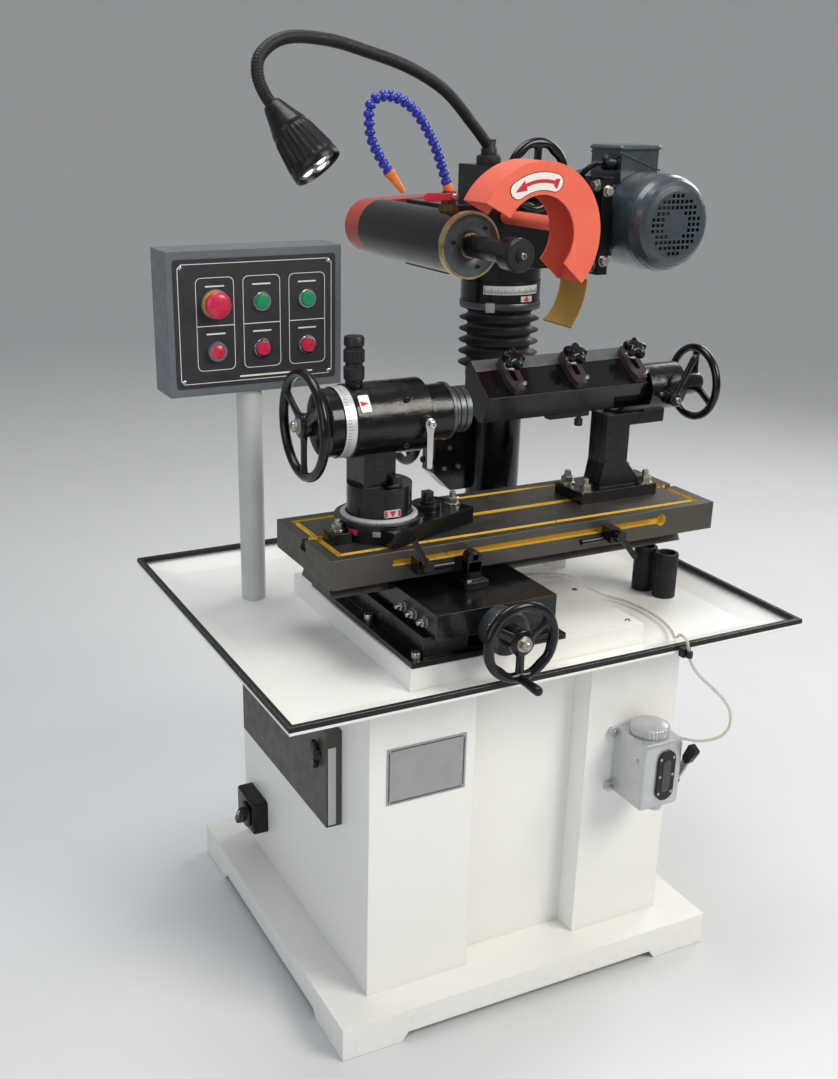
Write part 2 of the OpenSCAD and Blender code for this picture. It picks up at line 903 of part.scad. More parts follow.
// One table stop block with its screw
module dog(x, way) {
    difference() {
        bx([x - dog_w / 2, tab_front - dog_d, dog_z], [x + dog_w / 2, tab_front, dog_z + dog_h]);
        ry(tab_front - dog_d - over, tab_front - dog_d + stud_in, x, face_slot_z, stud_r + run_gap);
    }
    translate([x, tab_front - dog_d / 2, dog_z + dog_h * dog_screw_share]) rotate([0, way * 90, 0])
        cylinder(h = dog_w / 2 + dog_screw_l, r = dog_screw_r);
}

module stop_dogs() {
    color("black") {
        dog(dog_lx, 1);
        dog(dog_rx, -1);
    }
}

// Clamp lever turning about Y
module clamp_lever(x, y, z, ang, length, inside) {
    ry(y - stud_out - lever_w, y + inside, x, z, stud_r);
    translate([x, y - stud_out - lever_w / 2, z]) rotate([0, ang, 0]) {
        rotate([90, 0, 0]) cylinder(h = lever_w, r = lever_w / 2 + stud_out / 2, center = true);
        cylinder(h = length, r = arm_r);
    }
}

module stop_lever_left() {
    color("black")
        clamp_lever(dog_lx, tab_front - dog_d, face_slot_z, lever_l_ang, lever_l_len, stud_in - over);
}

module stop_lever_right() {
    color("black")
        clamp_lever(dog_rx, tab_front - dog_d, face_slot_z, lever_r_ang, lever_r_len, stud_in - over);
}

module stop_post() {
    color("black") {
        bx([stop_x - stop_foot_w / 2, stop_y - stop_foot_d / 2, sad_top],
            [stop_x + stop_foot_w / 2, stop_y + stop_foot_d / 2, sad_top + stop_foot_h]);
        bx([stop_x - stop_w / 2, stop_y - stop_d / 2, sad_top],
            [stop_x + stop_w / 2, stop_y + stop_d / 2, stop_top]);
    }
}

module wh_base() {
    color("black") {
        translate([wh_plate_x, wh_plate_y, tab_top]) rotate([0, 0, wh_turn])
            cube([wh_plate_l, wh_plate_d, wh_base_h]);
        rz(tab_top, tab_top + wh_base_h + wh_disc_h, wh_x, wh_y, wh_disc_r);
        rz(tab_top, wh_drum_z + spigot_h, wh_x, wh_y, wh_pivot_r);
        rz(tab_top, tab_top + wh_base_h + wh_boss_h, wh_boss_x, wh_boss_y, wh_boss_r);
    }
}

wh_drum_z = tab_top + wh_base_h + wh_disc_h + slide_gap;

module wh_head() {
    color("black") difference() {
        union() {
            rz(wh_drum_z, wh_drum_z + wh_drum_h, wh_x, wh_y, wh_drum_r);
            bx([wh_h0 + wh_pillar_in, wh_y - wh_pillar_d / 2, wh_drum_z],
                [wh_h0 + wh_pillar_in + wh_pillar_l, wh_y + wh_pillar_d / 2, wh_z]);
            rx(wh_h0, wh_h1, wh_y, wh_z, wh_r);
            rx(wh_h1 - over, wh_h2, wh_y, wh_z, wh_nose_r);
            rz(wh_z + wh_shaft_r + plunger_in / 2, plunger_boss_z, plunger_x, wh_y, plunger_boss_r);
            ry(wh_y - wh_r - stud_out, wh_y - wh_shaft_r - stud_in, whl_x, wh_z, stud_r + stud_out);
        }
        rx(wh_h0 - over, wh_h2 + over, wh_y, wh_z, wh_shaft_r + run_gap);
        rz(wh_drum_z - over, wh_drum_z + spigot_h + free_gap, wh_x, wh_y, wh_pivot_r + run_gap);
        rz(plunger_boss_z - plunger_in, plunger_boss_z + over, plunger_x, wh_y, plunger_r + run_gap);
        ry(wh_y - wh_r - stud_out - over, wh_y - wh_r - stud_out + stud_in, whl_x, wh_z, stud_r + run_gap);
    }
}

module wh_spindle() {
    color("silver") difference() {
        union() {
            rx(wh_end, wh_h2 + wh_ring_l, wh_y, wh_z, wh_shaft_r);
            rx(wh_h0 - wh_disc_l, wh_h0 - wh_disc_l / 2, wh_y, wh_z, wh_index_r - wh_groove);
            rx(wh_h0 - wh_disc_l / 2, wh_h0 - free_gap, wh_y, wh_z, wh_index_r);
            rx(wh_h2 + free_gap, wh_h2 + wh_ring_l, wh_y, wh_z, wh_ring_r - wh_groove);
            for (i = [0 : wh_ring_n - 1])
                rx(wh_h2 + free_gap + i * wh_ring_l / wh_ring_n,
                    wh_h2 + free_gap + (i + 1) * wh_ring_l / wh_ring_n - wh_groove, wh_y, wh_z, wh_ring_r);
        }
        rx(wh_h2 + wh_ring_l - wh_socket_l, wh_h2 + wh_ring_l + over, wh_y, wh_z, wh_bore_r);
    }
}

module wh_wheel() {
    color("black") translate([wh_wheel_x, wh_y, wh_z]) rotate([0, 90, 0])
        spoked(wh_wheel_d, rim_t + over, wh_wheel_d * hub_share / 2 + spoke_t / 2, -spoke_t,
            wh_end - wh_wheel_x, 0);
}

module wh_plunger() {
    color("black") {
        rz(plunger_boss_z - plunger_in + over, plunger_boss_z + over, plunger_x, wh_y, plunger_r);
        rz(plunger_boss_z + free_gap, plunger_boss_z + plunger_h, plunger_x, wh_y, plunger_knob_r);
    }
}

module wh_lever() {
    color("silver") {
        ry(wh_y - wh_r - 2 * stud_out - whl_t, wh_y - wh_r - stud_out + stud_in - over, whl_x, wh_z, stud_r);
        bx([whl_x - whl_w / 2, wh_y - wh_r - stud_out - free_gap - whl_t, wh_z - whl_len],
            [whl_x + whl_w / 2, wh_y - wh_r - stud_out - free_gap, wh_z]);
    }
}

// Flared foot of the bar stand
function stand_foot() = [
    [vb_post_x0 - vb_foot_left, tab_top], [vb_post_x1 + vb_foot_right, tab_top],
    [vb_post_x1 + vb_foot_right, tab_top + vb_base_h + vb_foot_lip],
    [vb_post_x1, tab_top + vb_base_h + vb_foot_h], [vb_post_x0, tab_top + vb_base_h + vb_foot_h],
    [vb_post_x0 - vb_foot_left, tab_top + vb_base_h + vb_foot_lip]];

module vb_stand() {
    color("black") difference() {
        union() {
            bx([vb_base_x0, vb_base_y0, tab_top], [vb_base_x1, vb_base_y1, tab_top + vb_base_h]);
            bx([vb_post_x0, vb_y - vb_post_d / 2, tab_top], [vb_post_x1, vb_y + vb_post_d / 2, vb_shelf_z]);
            along_y(vb_y - vb_post_d / 2, vb_y + vb_post_d / 2, stand_foot());
            bx([vb_post_x0, vb_y - vb_web_d / 2, vb_shelf_z - vb_shelf_t],
                [vb_h0 + vb_web_in, vb_y + vb_web_d / 2, vb_shelf_z]);
            bx([vb_h0, vb_y - vb_web_d / 2, vb_shelf_z - vb_shelf_t / 2],
                [vb_h0 + vb_web_in, vb_y + vb_web_d / 2, vb_z]);
            rx(vb_h0, vb_h1, vb_y, vb_z, vb_r);
            difference() {
                rx(vb_post_x0 + vb_cradle_in, vb_h0 + over, vb_y, vb_z, vb_r);
                rx(vb_post_x0 + vb_cradle_in - over, vb_h0, vb_y, vb_z, vb_cradle_r);
                bx([vb_post_x0, vb_y - 2 * vb_r, vb_z - vb_cradle_drop], [vb_h0, vb_y + 2 * vb_r, vb_z + 2 * vb_r]);
            }
            ry(vb_y - vb_r - vbl_boss, vb_y, vbl_x, vbl_z, vbl_boss_r);
        }
        rx(vb_h0 - over, vb_h1 + over, vb_y, vb_z, vb_shaft_r + run_gap);
        ry(vb_y - vb_r - vbl_boss - over, vb_y - vb_r - vbl_boss + stud_in, vbl_x, vbl_z, stud_r + run_gap);
    }
}

// Bar section about the tilt axis
function bar_pts() = [for (p = [bar_a, bar_f, bar_e, bar_d, bar_c, bar_b]) [vb_y + p[0], vb_z + p[1]]];

module vb_bar() {
    color("black") difference() {
        union() {
            along_x(vb_x0, vb_x0 + bar_l, bar_pts());
            rx(vb_x0 + bar_l - over, vb_wheel_x - vb_hub_l, vb_y, vb_z, vb_shaft_r);
        }
        for (i = [0 : 2]) on_slope(clamp_x0 + i * clamp_pitch, bar_len * clamp_at_share)
            translate([0, 0, -knob_h]) cylinder(h = knob_h + over, r = knob_stem_r + run_gap);
    }
}

// Frame on the sloped bar face: Z is the face normal, Y runs up the slope
module on_slope(x, up) {
    translate([x, vb_y + bar_a[0], vb_z + bar_a[1]]) rotate([bar_ang, 0, 0]) translate([0, up, 0]) children();
}

module vb_clamps() {
    color("dimgray") for (i = [0 : 2]) on_slope(clamp_x0 + i * clamp_pitch, bar_len * clamp_start_share)
        difference() {
            translate([-clamp_w / 2, 0, 0]) cube([clamp_w, clamp_l, clamp_t]);
            translate([-clamp_slot / 2, clamp_w / 2, -over])
                cube([clamp_slot, clamp_l - clamp_w, clamp_t + 2 * over]);
        }
}

// Lobed outline of a clamp knob
module star2d() {
    circle(r = knob_r - knob_lobe_r);
    for (k = [0 : knob_lobes - 1]) rotate([0, 0, k * 360 / knob_lobes])
        translate([knob_r - knob_lobe_r, 0]) circle(r = knob_lobe_r);
}

// Lobed knob with its stem
module star(i) {
    on_slope(clamp_x0 + i * clamp_pitch, bar_len * clamp_at_share) {
        translate([0, 0, -knob_h + over]) cylinder(h = knob_h + clamp_t + knob_neck, r = knob_stem_r);
        translate([0, 0, clamp_t + slide_gap]) cylinder(h = knob_neck, r = knob_r / 2);
        translate([0, 0, clamp_t + knob_neck]) linear_extrude(height = knob_h) star2d();
    }
}

module star_knob_1() {
    color("black") star(0);
}

module star_knob_2() {
    color("black") star(1);
}

module star_knob_3() {
    color("black") star(2);
}

module vb_wheel() {
    color("black") translate([vb_wheel_x, vb_y, vb_z]) rotate([0, 90, 0])
        spoked(vb_wheel_d, rim_t - over, vb_wheel_d * hub_share, -vb_hub_l, spoke_t, 180);
}

module vb_lever() {
    color("black") clamp_lever(vbl_x, vb_y - vb_r - vbl_boss, vbl_z, vbl_ang, vbl_len, stud_in - over);
}

module column() {
    color("black") difference() {
        union() {
            rz(ped_top, ped_top + foot_h, col_x, col_y, foot_r);
            rz(ped_top, col_top, col_x, col_y, col_r);
            rz(col_top - collar_h, col_top, col_x, col_y, collar_r);
            along_y(case_y0, case_y1, [[case_x0 + case_cut, case_z0], [case_x1, case_z0],
                [case_x1, case_z1], [case_x0, case_z1], [case_x0, case_z0 + case_cut]]);
        }
        rz(ram_z0 - ram_down, col_top + over, col_x, col_y, ram_r + run_gap);
        bx([case_x0 + case_wall, elev_y - pinion_r - free_gap, elev_z - pinion_r - free_gap],
            [elev_end + free_gap, case_y1 + over, elev_z + pinion_r + free_gap]);
        rx(case_x0 - over, case_x0 + case_wall + over, elev_y, elev_z, elev_shaft_r + run_gap);
    }
}

module ram() {
    color("silver") {
        rz(ram_z0, dial_z + over, col_x, col_y, ram_r);
        rz(dial_z, dial_top, col_x, col_y, dial_r);
        rz(dial_top - over, dial_top + spigot_h, col_x, col_y, spigot_r);
    }
}

module elev_wheel() {
    color("black") {
        translate([elev_x, elev_y, elev_z]) rotate([0, 90, 0])
            spoked(elev_d, rim_t, elev_d * hub_share, -rim_t, rim_t + spoke_t);
        rx(elev_x, elev_end, elev_y, elev_z, elev_shaft_r);
        rx(elev_end - pinion_l, elev_end, elev_y, elev_z, pinion_r);
    }
}

fold_h = (bellows_l - 2 * fold_ring) / folds;

module bellows() {
    color("dimgray") translate([col_x, col_y, col_top]) rotate_extrude() polygon(concat(
        [[bellows_r - fold_in, 0], [bellows_r - fold_in, fold_ring]],
        [for (i = [0 : folds - 1]) each [[bellows_r, fold_ring + (i + half_share) * fold_h],
            [bellows_r - fold_in, fold_ring + (i + 1) * fold_h]]],
        [[bellows_r - fold_in, bellows_l], [bellows_r - fold_in - fold_t, bellows_l],
            [bellows_r - fold_in - fold_t, bellows_l - fold_ring]],
        [for (i = [folds - 1 : -1 : 0]) each [[bellows_r - fold_t, fold_ring + (i + half_share) * fold_h],
            [bellows_r - fold_in - fold_t, fold_ring + i * fold_h]]],
        [[bellows_r - fold_in - fold_t, 0]]));
}

module head() {
    color("black") difference() {
        union() {
            rz(dial_top + slide_gap, dial_top + drum_h + over, col_x, col_y, dial_r - over);
            bx([head_x0, head_y0, dial_top + drum_h], [mplate_x + over, head_y1, head_top]);
            bx([tower_x0, tower_y0, head_top - over], [tower_x1, tower_y1, tower_top]);
            ry(house_y0, house_y1, spin_x, spin_z, house_r);
            bx([mplate_x, mplate_y0, mplate_z0], [mplate_x + mplate_t, mplate_y1, mplate_z1]);
        }
        ry(house_y0 - over, house_y1 + over, spin_x, spin_z, bear_r);
        rz(dial_top, dial_top + spigot_h + free_gap, col_x, col_y, spigot_r + run_gap);
        ry(head_y0 - over, head_y0 + garm_in + over, arm_x, arm_z, garm_r + run_gap);
        ry(tower_y0 - over, tower_y0 + fine_in + over, fine_x, fine_z, fine_shaft_r + run_gap);
    }
}

module spindle() {
    color("silver") {
        ry(nose_y, belt_y0 + belt_w + pulley_lip_t, spin_x, spin_z, spin_r);
        ry(nose_y, nose_y + nose_t, spin_x, spin_z, nose_r);
        ry(belt_y0 - pulley_lip_t, belt_y0 + belt_w + pulley_lip_t, spin_x, spin_z, pulley_r);
        ry(belt_y0 + belt_w + free_gap, belt_y0 + belt_w + pulley_lip_t, spin_x, spin_z,
            pulley_r + pulley_lip);
    }
}

module bearings() {
    color("silver") for (y = [house_y0 + bear_in, house_y1 - bear_in - bear_t]) difference() {
        ry(y, y + bear_t, spin_x, spin_z, bear_r);
        ry(y - over, y + bear_t + over, spin_x, spin_z, spin_r + run_gap);
    }
}

module spindle_cap() {
    color("tan") difference() {
        ry(house_y0 - cap_t, house_y0, spin_x, spin_z, cap_r);
        ry(house_y0 - cap_t - over, house_y0 + over, spin_x, spin_z, spin_r + free_gap);
    }
}

// Belt line frame: X runs from the spindle axis to the motor axis, Z of the frame along the shafts
module belt_line(y) {
    translate([spin_x, y, spin_z]) rotate([90, 0, 0]) rotate([0, 0, belt_ang]) children();
}

// Loop outline around both pulleys
module loop2d(r) {
    circle(r = r);
    translate([belt_l, 0]) circle(r = r);
    translate([0, -r]) square([belt_l, 2 * r]);
}

module belt_guard() {
    color("red") difference() {
        belt_line(guard_back) linear_extrude(height = guard_back - guard_front) loop2d(bg_r);
        belt_line(guard_back - guard_wall) linear_extrude(height = guard_back - guard_front - 2 * guard_wall)
            loop2d(bg_r - guard_wall);
        belt_line(guard_front + 2 * guard_wall) linear_extrude(height = 2 * guard_wall + over)
            circle(r = bg_hole_r);
        belt_line(guard_front + 2 * guard_wall) linear_extrude(height = 2 * guard_wall + over)
            translate([belt_l, 0]) circle(r = bg_hole_r);
    }
}

module belt() {
    color("black") belt_line(belt_y0 + belt_w) linear_extrude(height = belt_w) difference() {
        loop2d(pulley_r + belt_t);
        loop2d(pulley_r + free_gap);
    }
}

module motor() {
    color("slategray") {
        difference() {
            union() {
                ry(motor_y0, motor_y1, motor_x, motor_z, motor_r);
                ry(motor_y1 - over, guard_front, motor_x, motor_z, motor_nose_r);
                bx([mplate_x + mplate_t, motor_foot_y0, motor_z - motor_foot_h],
                    [motor_x, motor_foot_y1, motor_z + motor_foot_h]);
                bx([box_x0, box_y0, motor_z], [box_x1, box_y1, motor_z + motor_r + box_h]);
            }
            ry(motor_y0 + motor_shield_t, motor_y1 - motor_shield_t, motor_x, motor_z, motor_bore);
            ry(motor_y0 - over, guard_front + over, motor_x, motor_z, mshaft_r + run_gap);
        }
    }
}

module rotor() {
    color("silver") {
        ry(fan_y0, belt_y0 + belt_w + pulley_lip_t, motor_x, motor_z, mshaft_r);
        ry(rotor_y0, rotor_y1, motor_x, motor_z, rotor_r);
        ry(fan_y0, fan_y1, motor_x, motor_z, fan_r);
        ry(belt_y0 - pulley_lip_t, belt_y0 + belt_w + pulley_lip_t, motor_x, motor_z, pulley_r);
        ry(belt_y0 + belt_w + free_gap, belt_y0 + belt_w + pulley_lip_t, motor_x, motor_z,
            pulley_r + pulley_lip);
    }
}

fan_len = motor_y0 + fan_lap - fan_front;

// Fan cover wall: straight skirt and a quarter of an ellipse to the flat front
function fan_arc(r, h) = [for (k = [0 : fan_steps]) [fan_flat_r + (r - fan_flat_r) * cos(90 * k / fan_steps),
    fan_len - fan_dome + h * sin(90 * k / fan_steps)]];
function fan_turn(p) = [for (k = [len(p) - 1 : -1 : 0]) p[k]];

module fan_cover() {
    color("slategray") difference() {
        translate([motor_x, motor_y0 + fan_lap, motor_z]) rotate([90, 0, 0]) rotate_extrude()
            polygon(concat([[motor_r, 0], [motor_r + fan_wall, 0]], fan_arc(motor_r + fan_wall, fan_dome),
                [[0, fan_len], [0, fan_len - fan_wall]], fan_turn(fan_arc(motor_r, fan_dome - fan_wall))));
        for (i = [-grille_n : grille_n], k = [-grille_n : grille_n])
            if (norm([i, k]) * grille_pitch < grille_r && norm([i, k]) * grille_pitch > grille_in)
                translate([motor_x + i * grille_pitch, fan_front, motor_z + k * grille_pitch])
                    cube([grille_hole, 3 * fan_wall, grille_hole], center = true);
    }
}

module wheel_guard() {
    color("orangered") {
        translate([gx, g_y0 + guard_w, gz]) rotate([90, 0, 0]) rotate([0, 0, g_start])
            rotate_extrude(angle = g_turn) polygon([[guard_in, 0], [guard_r, 0], [guard_r, guard_w],
                [guard_in, guard_w], [guard_in, guard_w - g_wall], [guard_r - g_wall, guard_w - g_wall],
                [guard_r - g_wall, g_wall], [guard_in, g_wall]]);
        ry(g_y0 + guard_w - g_wall, head_y0 + garm_in, arm_x, arm_z, garm_r);
    }
}

module head_wheel() {
    color("black") {
        translate([fine_x, fine_y, fine_z]) rotate([90, 0, 0])
            spoked(fine_d, rim_t, fine_d * hub_share, -rim_t - spoke_t, rim_t);
        ry(fine_y, tower_y0 + fine_in, fine_x, fine_z, fine_shaft_r);
    }
}

module control_post() {
    color("lightgray") rz(floor_z, ctl_z0, post_x, post_y, post_r);
}

// Places of the round holes in the control box face
function hole_at(c, r) = [ctl_x + col_off[c], ctl_z + row_off[r]];

module control_box() {
    color("gray") difference() {
        union() {
            bx([ctl_x - ctl_w / 2, ctl_front, ctl_z0],
                [ctl_x + ctl_w / 2, ctl_front + ctl_d, ctl_z0 + ctl_h]);
            for (c = [1, 2], r = [0, 1])
                ry(ctl_front - bezel_t, ctl_front + over, hole_at(c, r)[0], hole_at(c, r)[1], bezel_r);
            ry(ctl_front - bezel_t, ctl_front + over, hole_at(0, 0)[0], hole_at(0, 0)[1], stop_ring_r);
            ry(ctl_front - push_out - bezel_t, ctl_front + over, hole_at(0, 1)[0], hole_at(0, 1)[1], bezel_r);
        }
        bx([ctl_x - ctl_w / 2 + ctl_wall, ctl_front + ctl_wall, ctl_z0 + ctl_wall],
            [ctl_x + ctl_w / 2 - ctl_wall, ctl_front + ctl_d - ctl_wall, ctl_z0 + ctl_h - ctl_wall]);
        for (c = [1, 2], r = [0, 1])
            ry(ctl_front - bezel_t - over, ctl_front + ctl_wall + over, hole_at(c, r)[0], hole_at(c, r)[1],
                push_r + run_gap);
        ry(ctl_front - bezel_t - over, ctl_front + ctl_wall + over, hole_at(0, 0)[0], hole_at(0, 0)[1],
            stop_stem_r + run_gap);
    }
}

module e_stop() {
    color("red") {
        ry(ctl_front - bezel_t - stop_gap, ctl_front + push_in, hole_at(0, 0)[0], hole_at(0, 0)[1],
            stop_stem_r);
        ry(ctl_front - bezel_t - stop_gap - stop_cap_t, ctl_front - bezel_t - stop_gap, hole_at(0, 0)[0],
            hole_at(0, 0)[1], stop_r);
    }
}

// One push button in the hole of column c and row r
module push(c, r) {
    ry(ctl_front - bezel_t - push_out, ctl_front + push_in, hole_at(c, r)[0], hole_at(c, r)[1], push_r);
}

module button_1() {
    color("green") push(1, 0);
}

module button_2() {
    color("green") push(2, 0);
}

module button_3() {
    color("red") push(1, 1);
}

module button_4() {
    color("red") push(2, 1);
}

module elec_door() {
    color("dimgray") difference() {
        union() {
            bx([-cab_w / 2 - door_d, door_y0, door_z0], [-cab_w / 2 - slide_gap, door_y1, door_z1]);
            rz(door_z0, door_z1, hinge_x, hinge_y, hinge_r);
        }
        bx([-cab_w / 2 - door_d + door_wall, door_y0 + door_wall, door_z0 + door_wall],
            [-cab_w / 2 + over, door_y1 - door_wall, door_z1 - door_wall]);
        rx(-cab_w / 2 - door_d - over, -cab_w / 2 - door_d + door_wall + over, knob_y, knob_z,
            stud_r + run_gap);
    }
}

module door_knob() {
    color("black") {
        rx(-cab_w / 2 - door_d - knob_wing_t, -cab_w / 2 - door_d / 2, knob_y, knob_z, stud_r);
        bx([-cab_w / 2 - door_d - free_gap - knob_wing_t, knob_y - knob_wing_h / 2, knob_z - knob_wing_w / 2],
            [-cab_w / 2 - door_d - free_gap, knob_y + knob_wing_h / 2, knob_z + knob_wing_w / 2]);
    }
}

sw_y = (sw_y0 + sw_y1) / 2 - sw_front;
sw_z = (sw_z0 + sw_z1) / 2;

module switch_box() {
    color("black") difference() {
        bx([-cab_w / 2 - sw_d, sw_y0, sw_z0], [-cab_w / 2, sw_y1, sw_z1]);
        rx(-cab_w / 2 - sw_d - over, -cab_w / 2 - sw_d + sw_in, sw_y, sw_z, sw_shaft_r + run_gap);
    }
}

module switch_knob() {
    color("black") {
        rx(-cab_w / 2 - sw_d - sw_disc_t, -cab_w / 2 - sw_d + sw_in - over, sw_y, sw_z, sw_shaft_r);
        rx(-cab_w / 2 - sw_d - free_gap - sw_disc_t, -cab_w / 2 - sw_d - free_gap, sw_y, sw_z, sw_disc_r);
        translate([-cab_w / 2 - sw_d - sw_disc_t - sw_bar_t, sw_y, sw_z]) rotate([-sw_ang, 0, 0])
            translate([0, -sw_bar_w / 2, -sw_bar_l / 2]) cube([sw_bar_t, sw_bar_w, sw_bar_l]);
    }
}

pump_x = (pump_x0 + pump_x1) / 2;
pump_y = (pump_y0 + cab_front) / 2;

module pump_body() {
    color("silver") difference() {
        union() {
            bx([pump_x0, pump_y0, pump_z0], [pump_x1, cab_front, pump_z1]);
            for (z = [pump_z0, pump_z1 - pump_ear_h])
                bx([pump_x0 - pump_ear_w, cab_front - pump_ear_t, z],
                    [pump_x0 + over, cab_front, z + pump_ear_h]);
            rz(pump_z1 - over, pump_z1 + pump_cap_h, pump_x, pump_y, pump_cap_r);
            rz(pump_cyl_z, pump_z0 + over, pump_x + pump_cyl_r, pump_y0 + 2 * pump_cyl_r, pump_cyl_r);
            bx([pump_x + pump_wall - pump_win_w / 2, pump_y0 - pump_win_t, pump_win_z0],
                [pump_x + pump_wall + pump_win_w / 2, pump_y0 + over, pump_win_z1]);
        }
        bx([pump_x0 + pump_wall, pump_y0 + pump_wall, pump_z0 + pump_wall],
            [pump_x1 - 3 * pump_wall, cab_front - pump_wall, pump_z1 - pump_wall]);
        rx(pump_x1 - 2 * pump_wall, pump_x1 + over, pl_y, pl_z, stud_r + run_gap);
    }
}

module pump_lever() {
    color("silver") {
        rx(pump_x1 - 2 * pump_wall + over, pump_x1 + pl_out + pl_t, pl_y, pl_z, stud_r);
        translate([pump_x1 + pl_out, pl_y, pl_z]) rotate([pl_ang, 0, 0]) {
            translate([0, -pl_w / 2, -pl_w / 2]) cube([pl_t, pl_w, pl_len]);
            translate([pl_t / 2, 0, pl_len - pl_w]) cylinder(h = pl_grip_l, r = pl_grip_r);
        }
    }
}

module oil_tube() {
    color("lightgray") sweep(tube_route, [for (p = tube_route) tube_r], tube_ref, tube_sides);
}

neck_pts = spread(neck_route, 2 * neck_ribs);

module lamp_neck() {
    color("black") {
        rz(tower_top, tower_top + lamp_foot_h, lamp_x, lamp_y, lamp_foot_r);
        sweep(neck_pts, [for (i = [0 : len(neck_pts) - 1]) neck_r - (i % 2)], neck_ref, neck_sides);
    }
}

// Frame at the lamp with Z along the beam
lamp_way = unit(lamp_tip - lamp_from);
lamp_len = norm(lamp_tip - lamp_from);

module lamp_head() {
    color("black") translate(lamp_from)
        rotate([0, acos(lamp_way[2]), atan2(lamp_way[1], lamp_way[0])]) difference() {
            union() {
                cylinder(h = lamp_len / 3, r = shade_neck_r);
                translate([0, 0, lamp_len / 3 - over])
                    cylinder(h = lamp_len / 3, r1 = shade_neck_r, r2 = shade_r);
                translate([0, 0, 2 * lamp_len / 3 - 2 * over]) cylinder(h = lamp_len / 3, r = shade_r);
            }
            translate([0, 0, lamp_len - 2 * shade_wall]) cylinder(h = lamp_len, r = shade_r - shade_wall);
        }
}

hose_pts = spread(hose_route, hose_rings);
hose_wave = [1, hose_waist_share, 1, 1];

module hose() {
    color("blue") {
        difference() {
            rz(spin_z + house_r / 2, valve_z, spin_x, valve_y, valve_foot_r);
            ry(house_y0, house_y1, spin_x, spin_z, house_r);
            ry(valve_y - valve_foot_r - over, valve_y - vl_in + over, spin_x, vl_z, vl_r + run_gap);
        }
        sweep(concat(hose_pts, [nozzle_tip]), [for (i = [0 : len(hose_pts)])
            i < len(hose_pts) ? hose_r * hose_wave[i % 4] : nozzle_r], hose_ref, hose_sides);
    }
}

module valve_lever() {
    color("red") {
        ry(valve_y - valve_foot_r - free_gap - vl_t, valve_y - vl_in, spin_x, vl_z, vl_r);
        bx([spin_x - vl_len, valve_y - valve_foot_r - free_gap - vl_t, vl_z - vl_w / 2],
            [spin_x + vl_w / 2, valve_y - valve_foot_r - free_gap, vl_z + vl_w / 2]);
    }
}

plinth();
cabinet();
tray();
pedestal();
cross_base();
cross_screw();
saddle();
cross_wheel();
table();
stop_dogs();
stop_lever_left();
stop_lever_right();
stop_post();
wh_base();
wh_head();
wh_spindle();
wh_wheel();
wh_plunger();
wh_lever();
vb_stand();
vb_bar();
vb_clamps();
star_knob_1();
star_knob_2();
star_knob_3();
vb_wheel();
vb_lever();
column();
ram();
elev_wheel();
bellows();
head();
spindle();
bearings();
spindle_cap();
belt_guard();
belt();
motor();
rotor();
fan_cover();
wheel_guard();
head_wheel();
control_post();
control_box();
e_stop();
button_1();
button_2();
button_3();
button_4();
elec_door();
door_knob();
switch_box();
switch_knob();
pump_body();
pump_lever();
oil_tube();
lamp_neck();
lamp_head();
hose();
valve_lever();
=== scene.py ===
"""Looks of a floor-standing tool and cutter grinder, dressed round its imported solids.

Lengths in the classes are millimetres in the frame of the solids: +X along the table, +Y to the back, +Z up.
"""
import logging
import math
from dataclasses import dataclass
from enum import Enum
from functools import partial
from itertools import product
from typing import Any, Iterable, Sequence

import bmesh
import bpy
import numpy as np
from mathutils import Matrix, Vector


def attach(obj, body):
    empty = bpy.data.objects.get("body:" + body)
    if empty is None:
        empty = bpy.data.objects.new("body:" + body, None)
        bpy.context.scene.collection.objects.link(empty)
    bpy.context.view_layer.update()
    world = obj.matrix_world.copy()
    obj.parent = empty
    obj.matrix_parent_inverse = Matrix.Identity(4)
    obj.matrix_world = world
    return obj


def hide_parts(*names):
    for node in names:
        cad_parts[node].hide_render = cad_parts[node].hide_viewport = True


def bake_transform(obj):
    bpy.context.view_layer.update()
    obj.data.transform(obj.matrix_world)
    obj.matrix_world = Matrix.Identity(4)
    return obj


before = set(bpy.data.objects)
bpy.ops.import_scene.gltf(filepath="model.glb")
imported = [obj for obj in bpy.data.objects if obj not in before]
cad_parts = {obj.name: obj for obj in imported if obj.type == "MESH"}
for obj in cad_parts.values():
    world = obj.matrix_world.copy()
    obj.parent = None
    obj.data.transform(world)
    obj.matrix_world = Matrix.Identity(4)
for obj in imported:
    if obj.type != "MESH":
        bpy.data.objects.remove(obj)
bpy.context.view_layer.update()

LOG = logging.getLogger("grinder")
Arr = np.ndarray
Point = Sequence[float]
Tree = bpy.types.NodeTree
Socket = bpy.types.NodeSocket
X, Y, Z = np.eye(3)
MM = 1000.0  # millimetres in a metre
MERGE_M = 1e-6
BEVEL_ANGLE = 35
EDGE_SAMPLES = 6
COAT_ROUGH = 0.12


def linear(code: str) -> tuple[float, float, float, float]:
    """Turns an sRGB hex colour into linear light.

    Args:
        code: six hex digits.
    Returns:
        Red, green, blue and alpha.
    """
    c = np.array([int(code[i:i + 2], 16) for i in (0, 2, 4)]) / 255.0
    c = np.where(c <= 0.04045, c / 12.92, ((c + 0.055) / 1.055) ** 2.4)
    return (*c.tolist(), 1.0)


def add(tree: Tree, kind: str, inputs: dict[Any, Any], **settings: Any) -> bpy.types.Node:
    """Adds one node with its settings, values and links.

    Args:
        tree: node tree that takes the node.
        kind: Blender's name of the node type, after its first word ShaderNode.
        inputs: socket name or number, with a value or the socket it is linked from.
        settings: properties of the node.
    Returns:
        The new node.
    """
    node = tree.nodes.new("ShaderNode" + kind)
    for key, value in settings.items():
        setattr(node, key, value)
    for key, value in inputs.items():
        if isinstance(value, Socket):
            tree.links.new(value, node.inputs[key])
        else:
            node.inputs[key].default_value = value
    return node


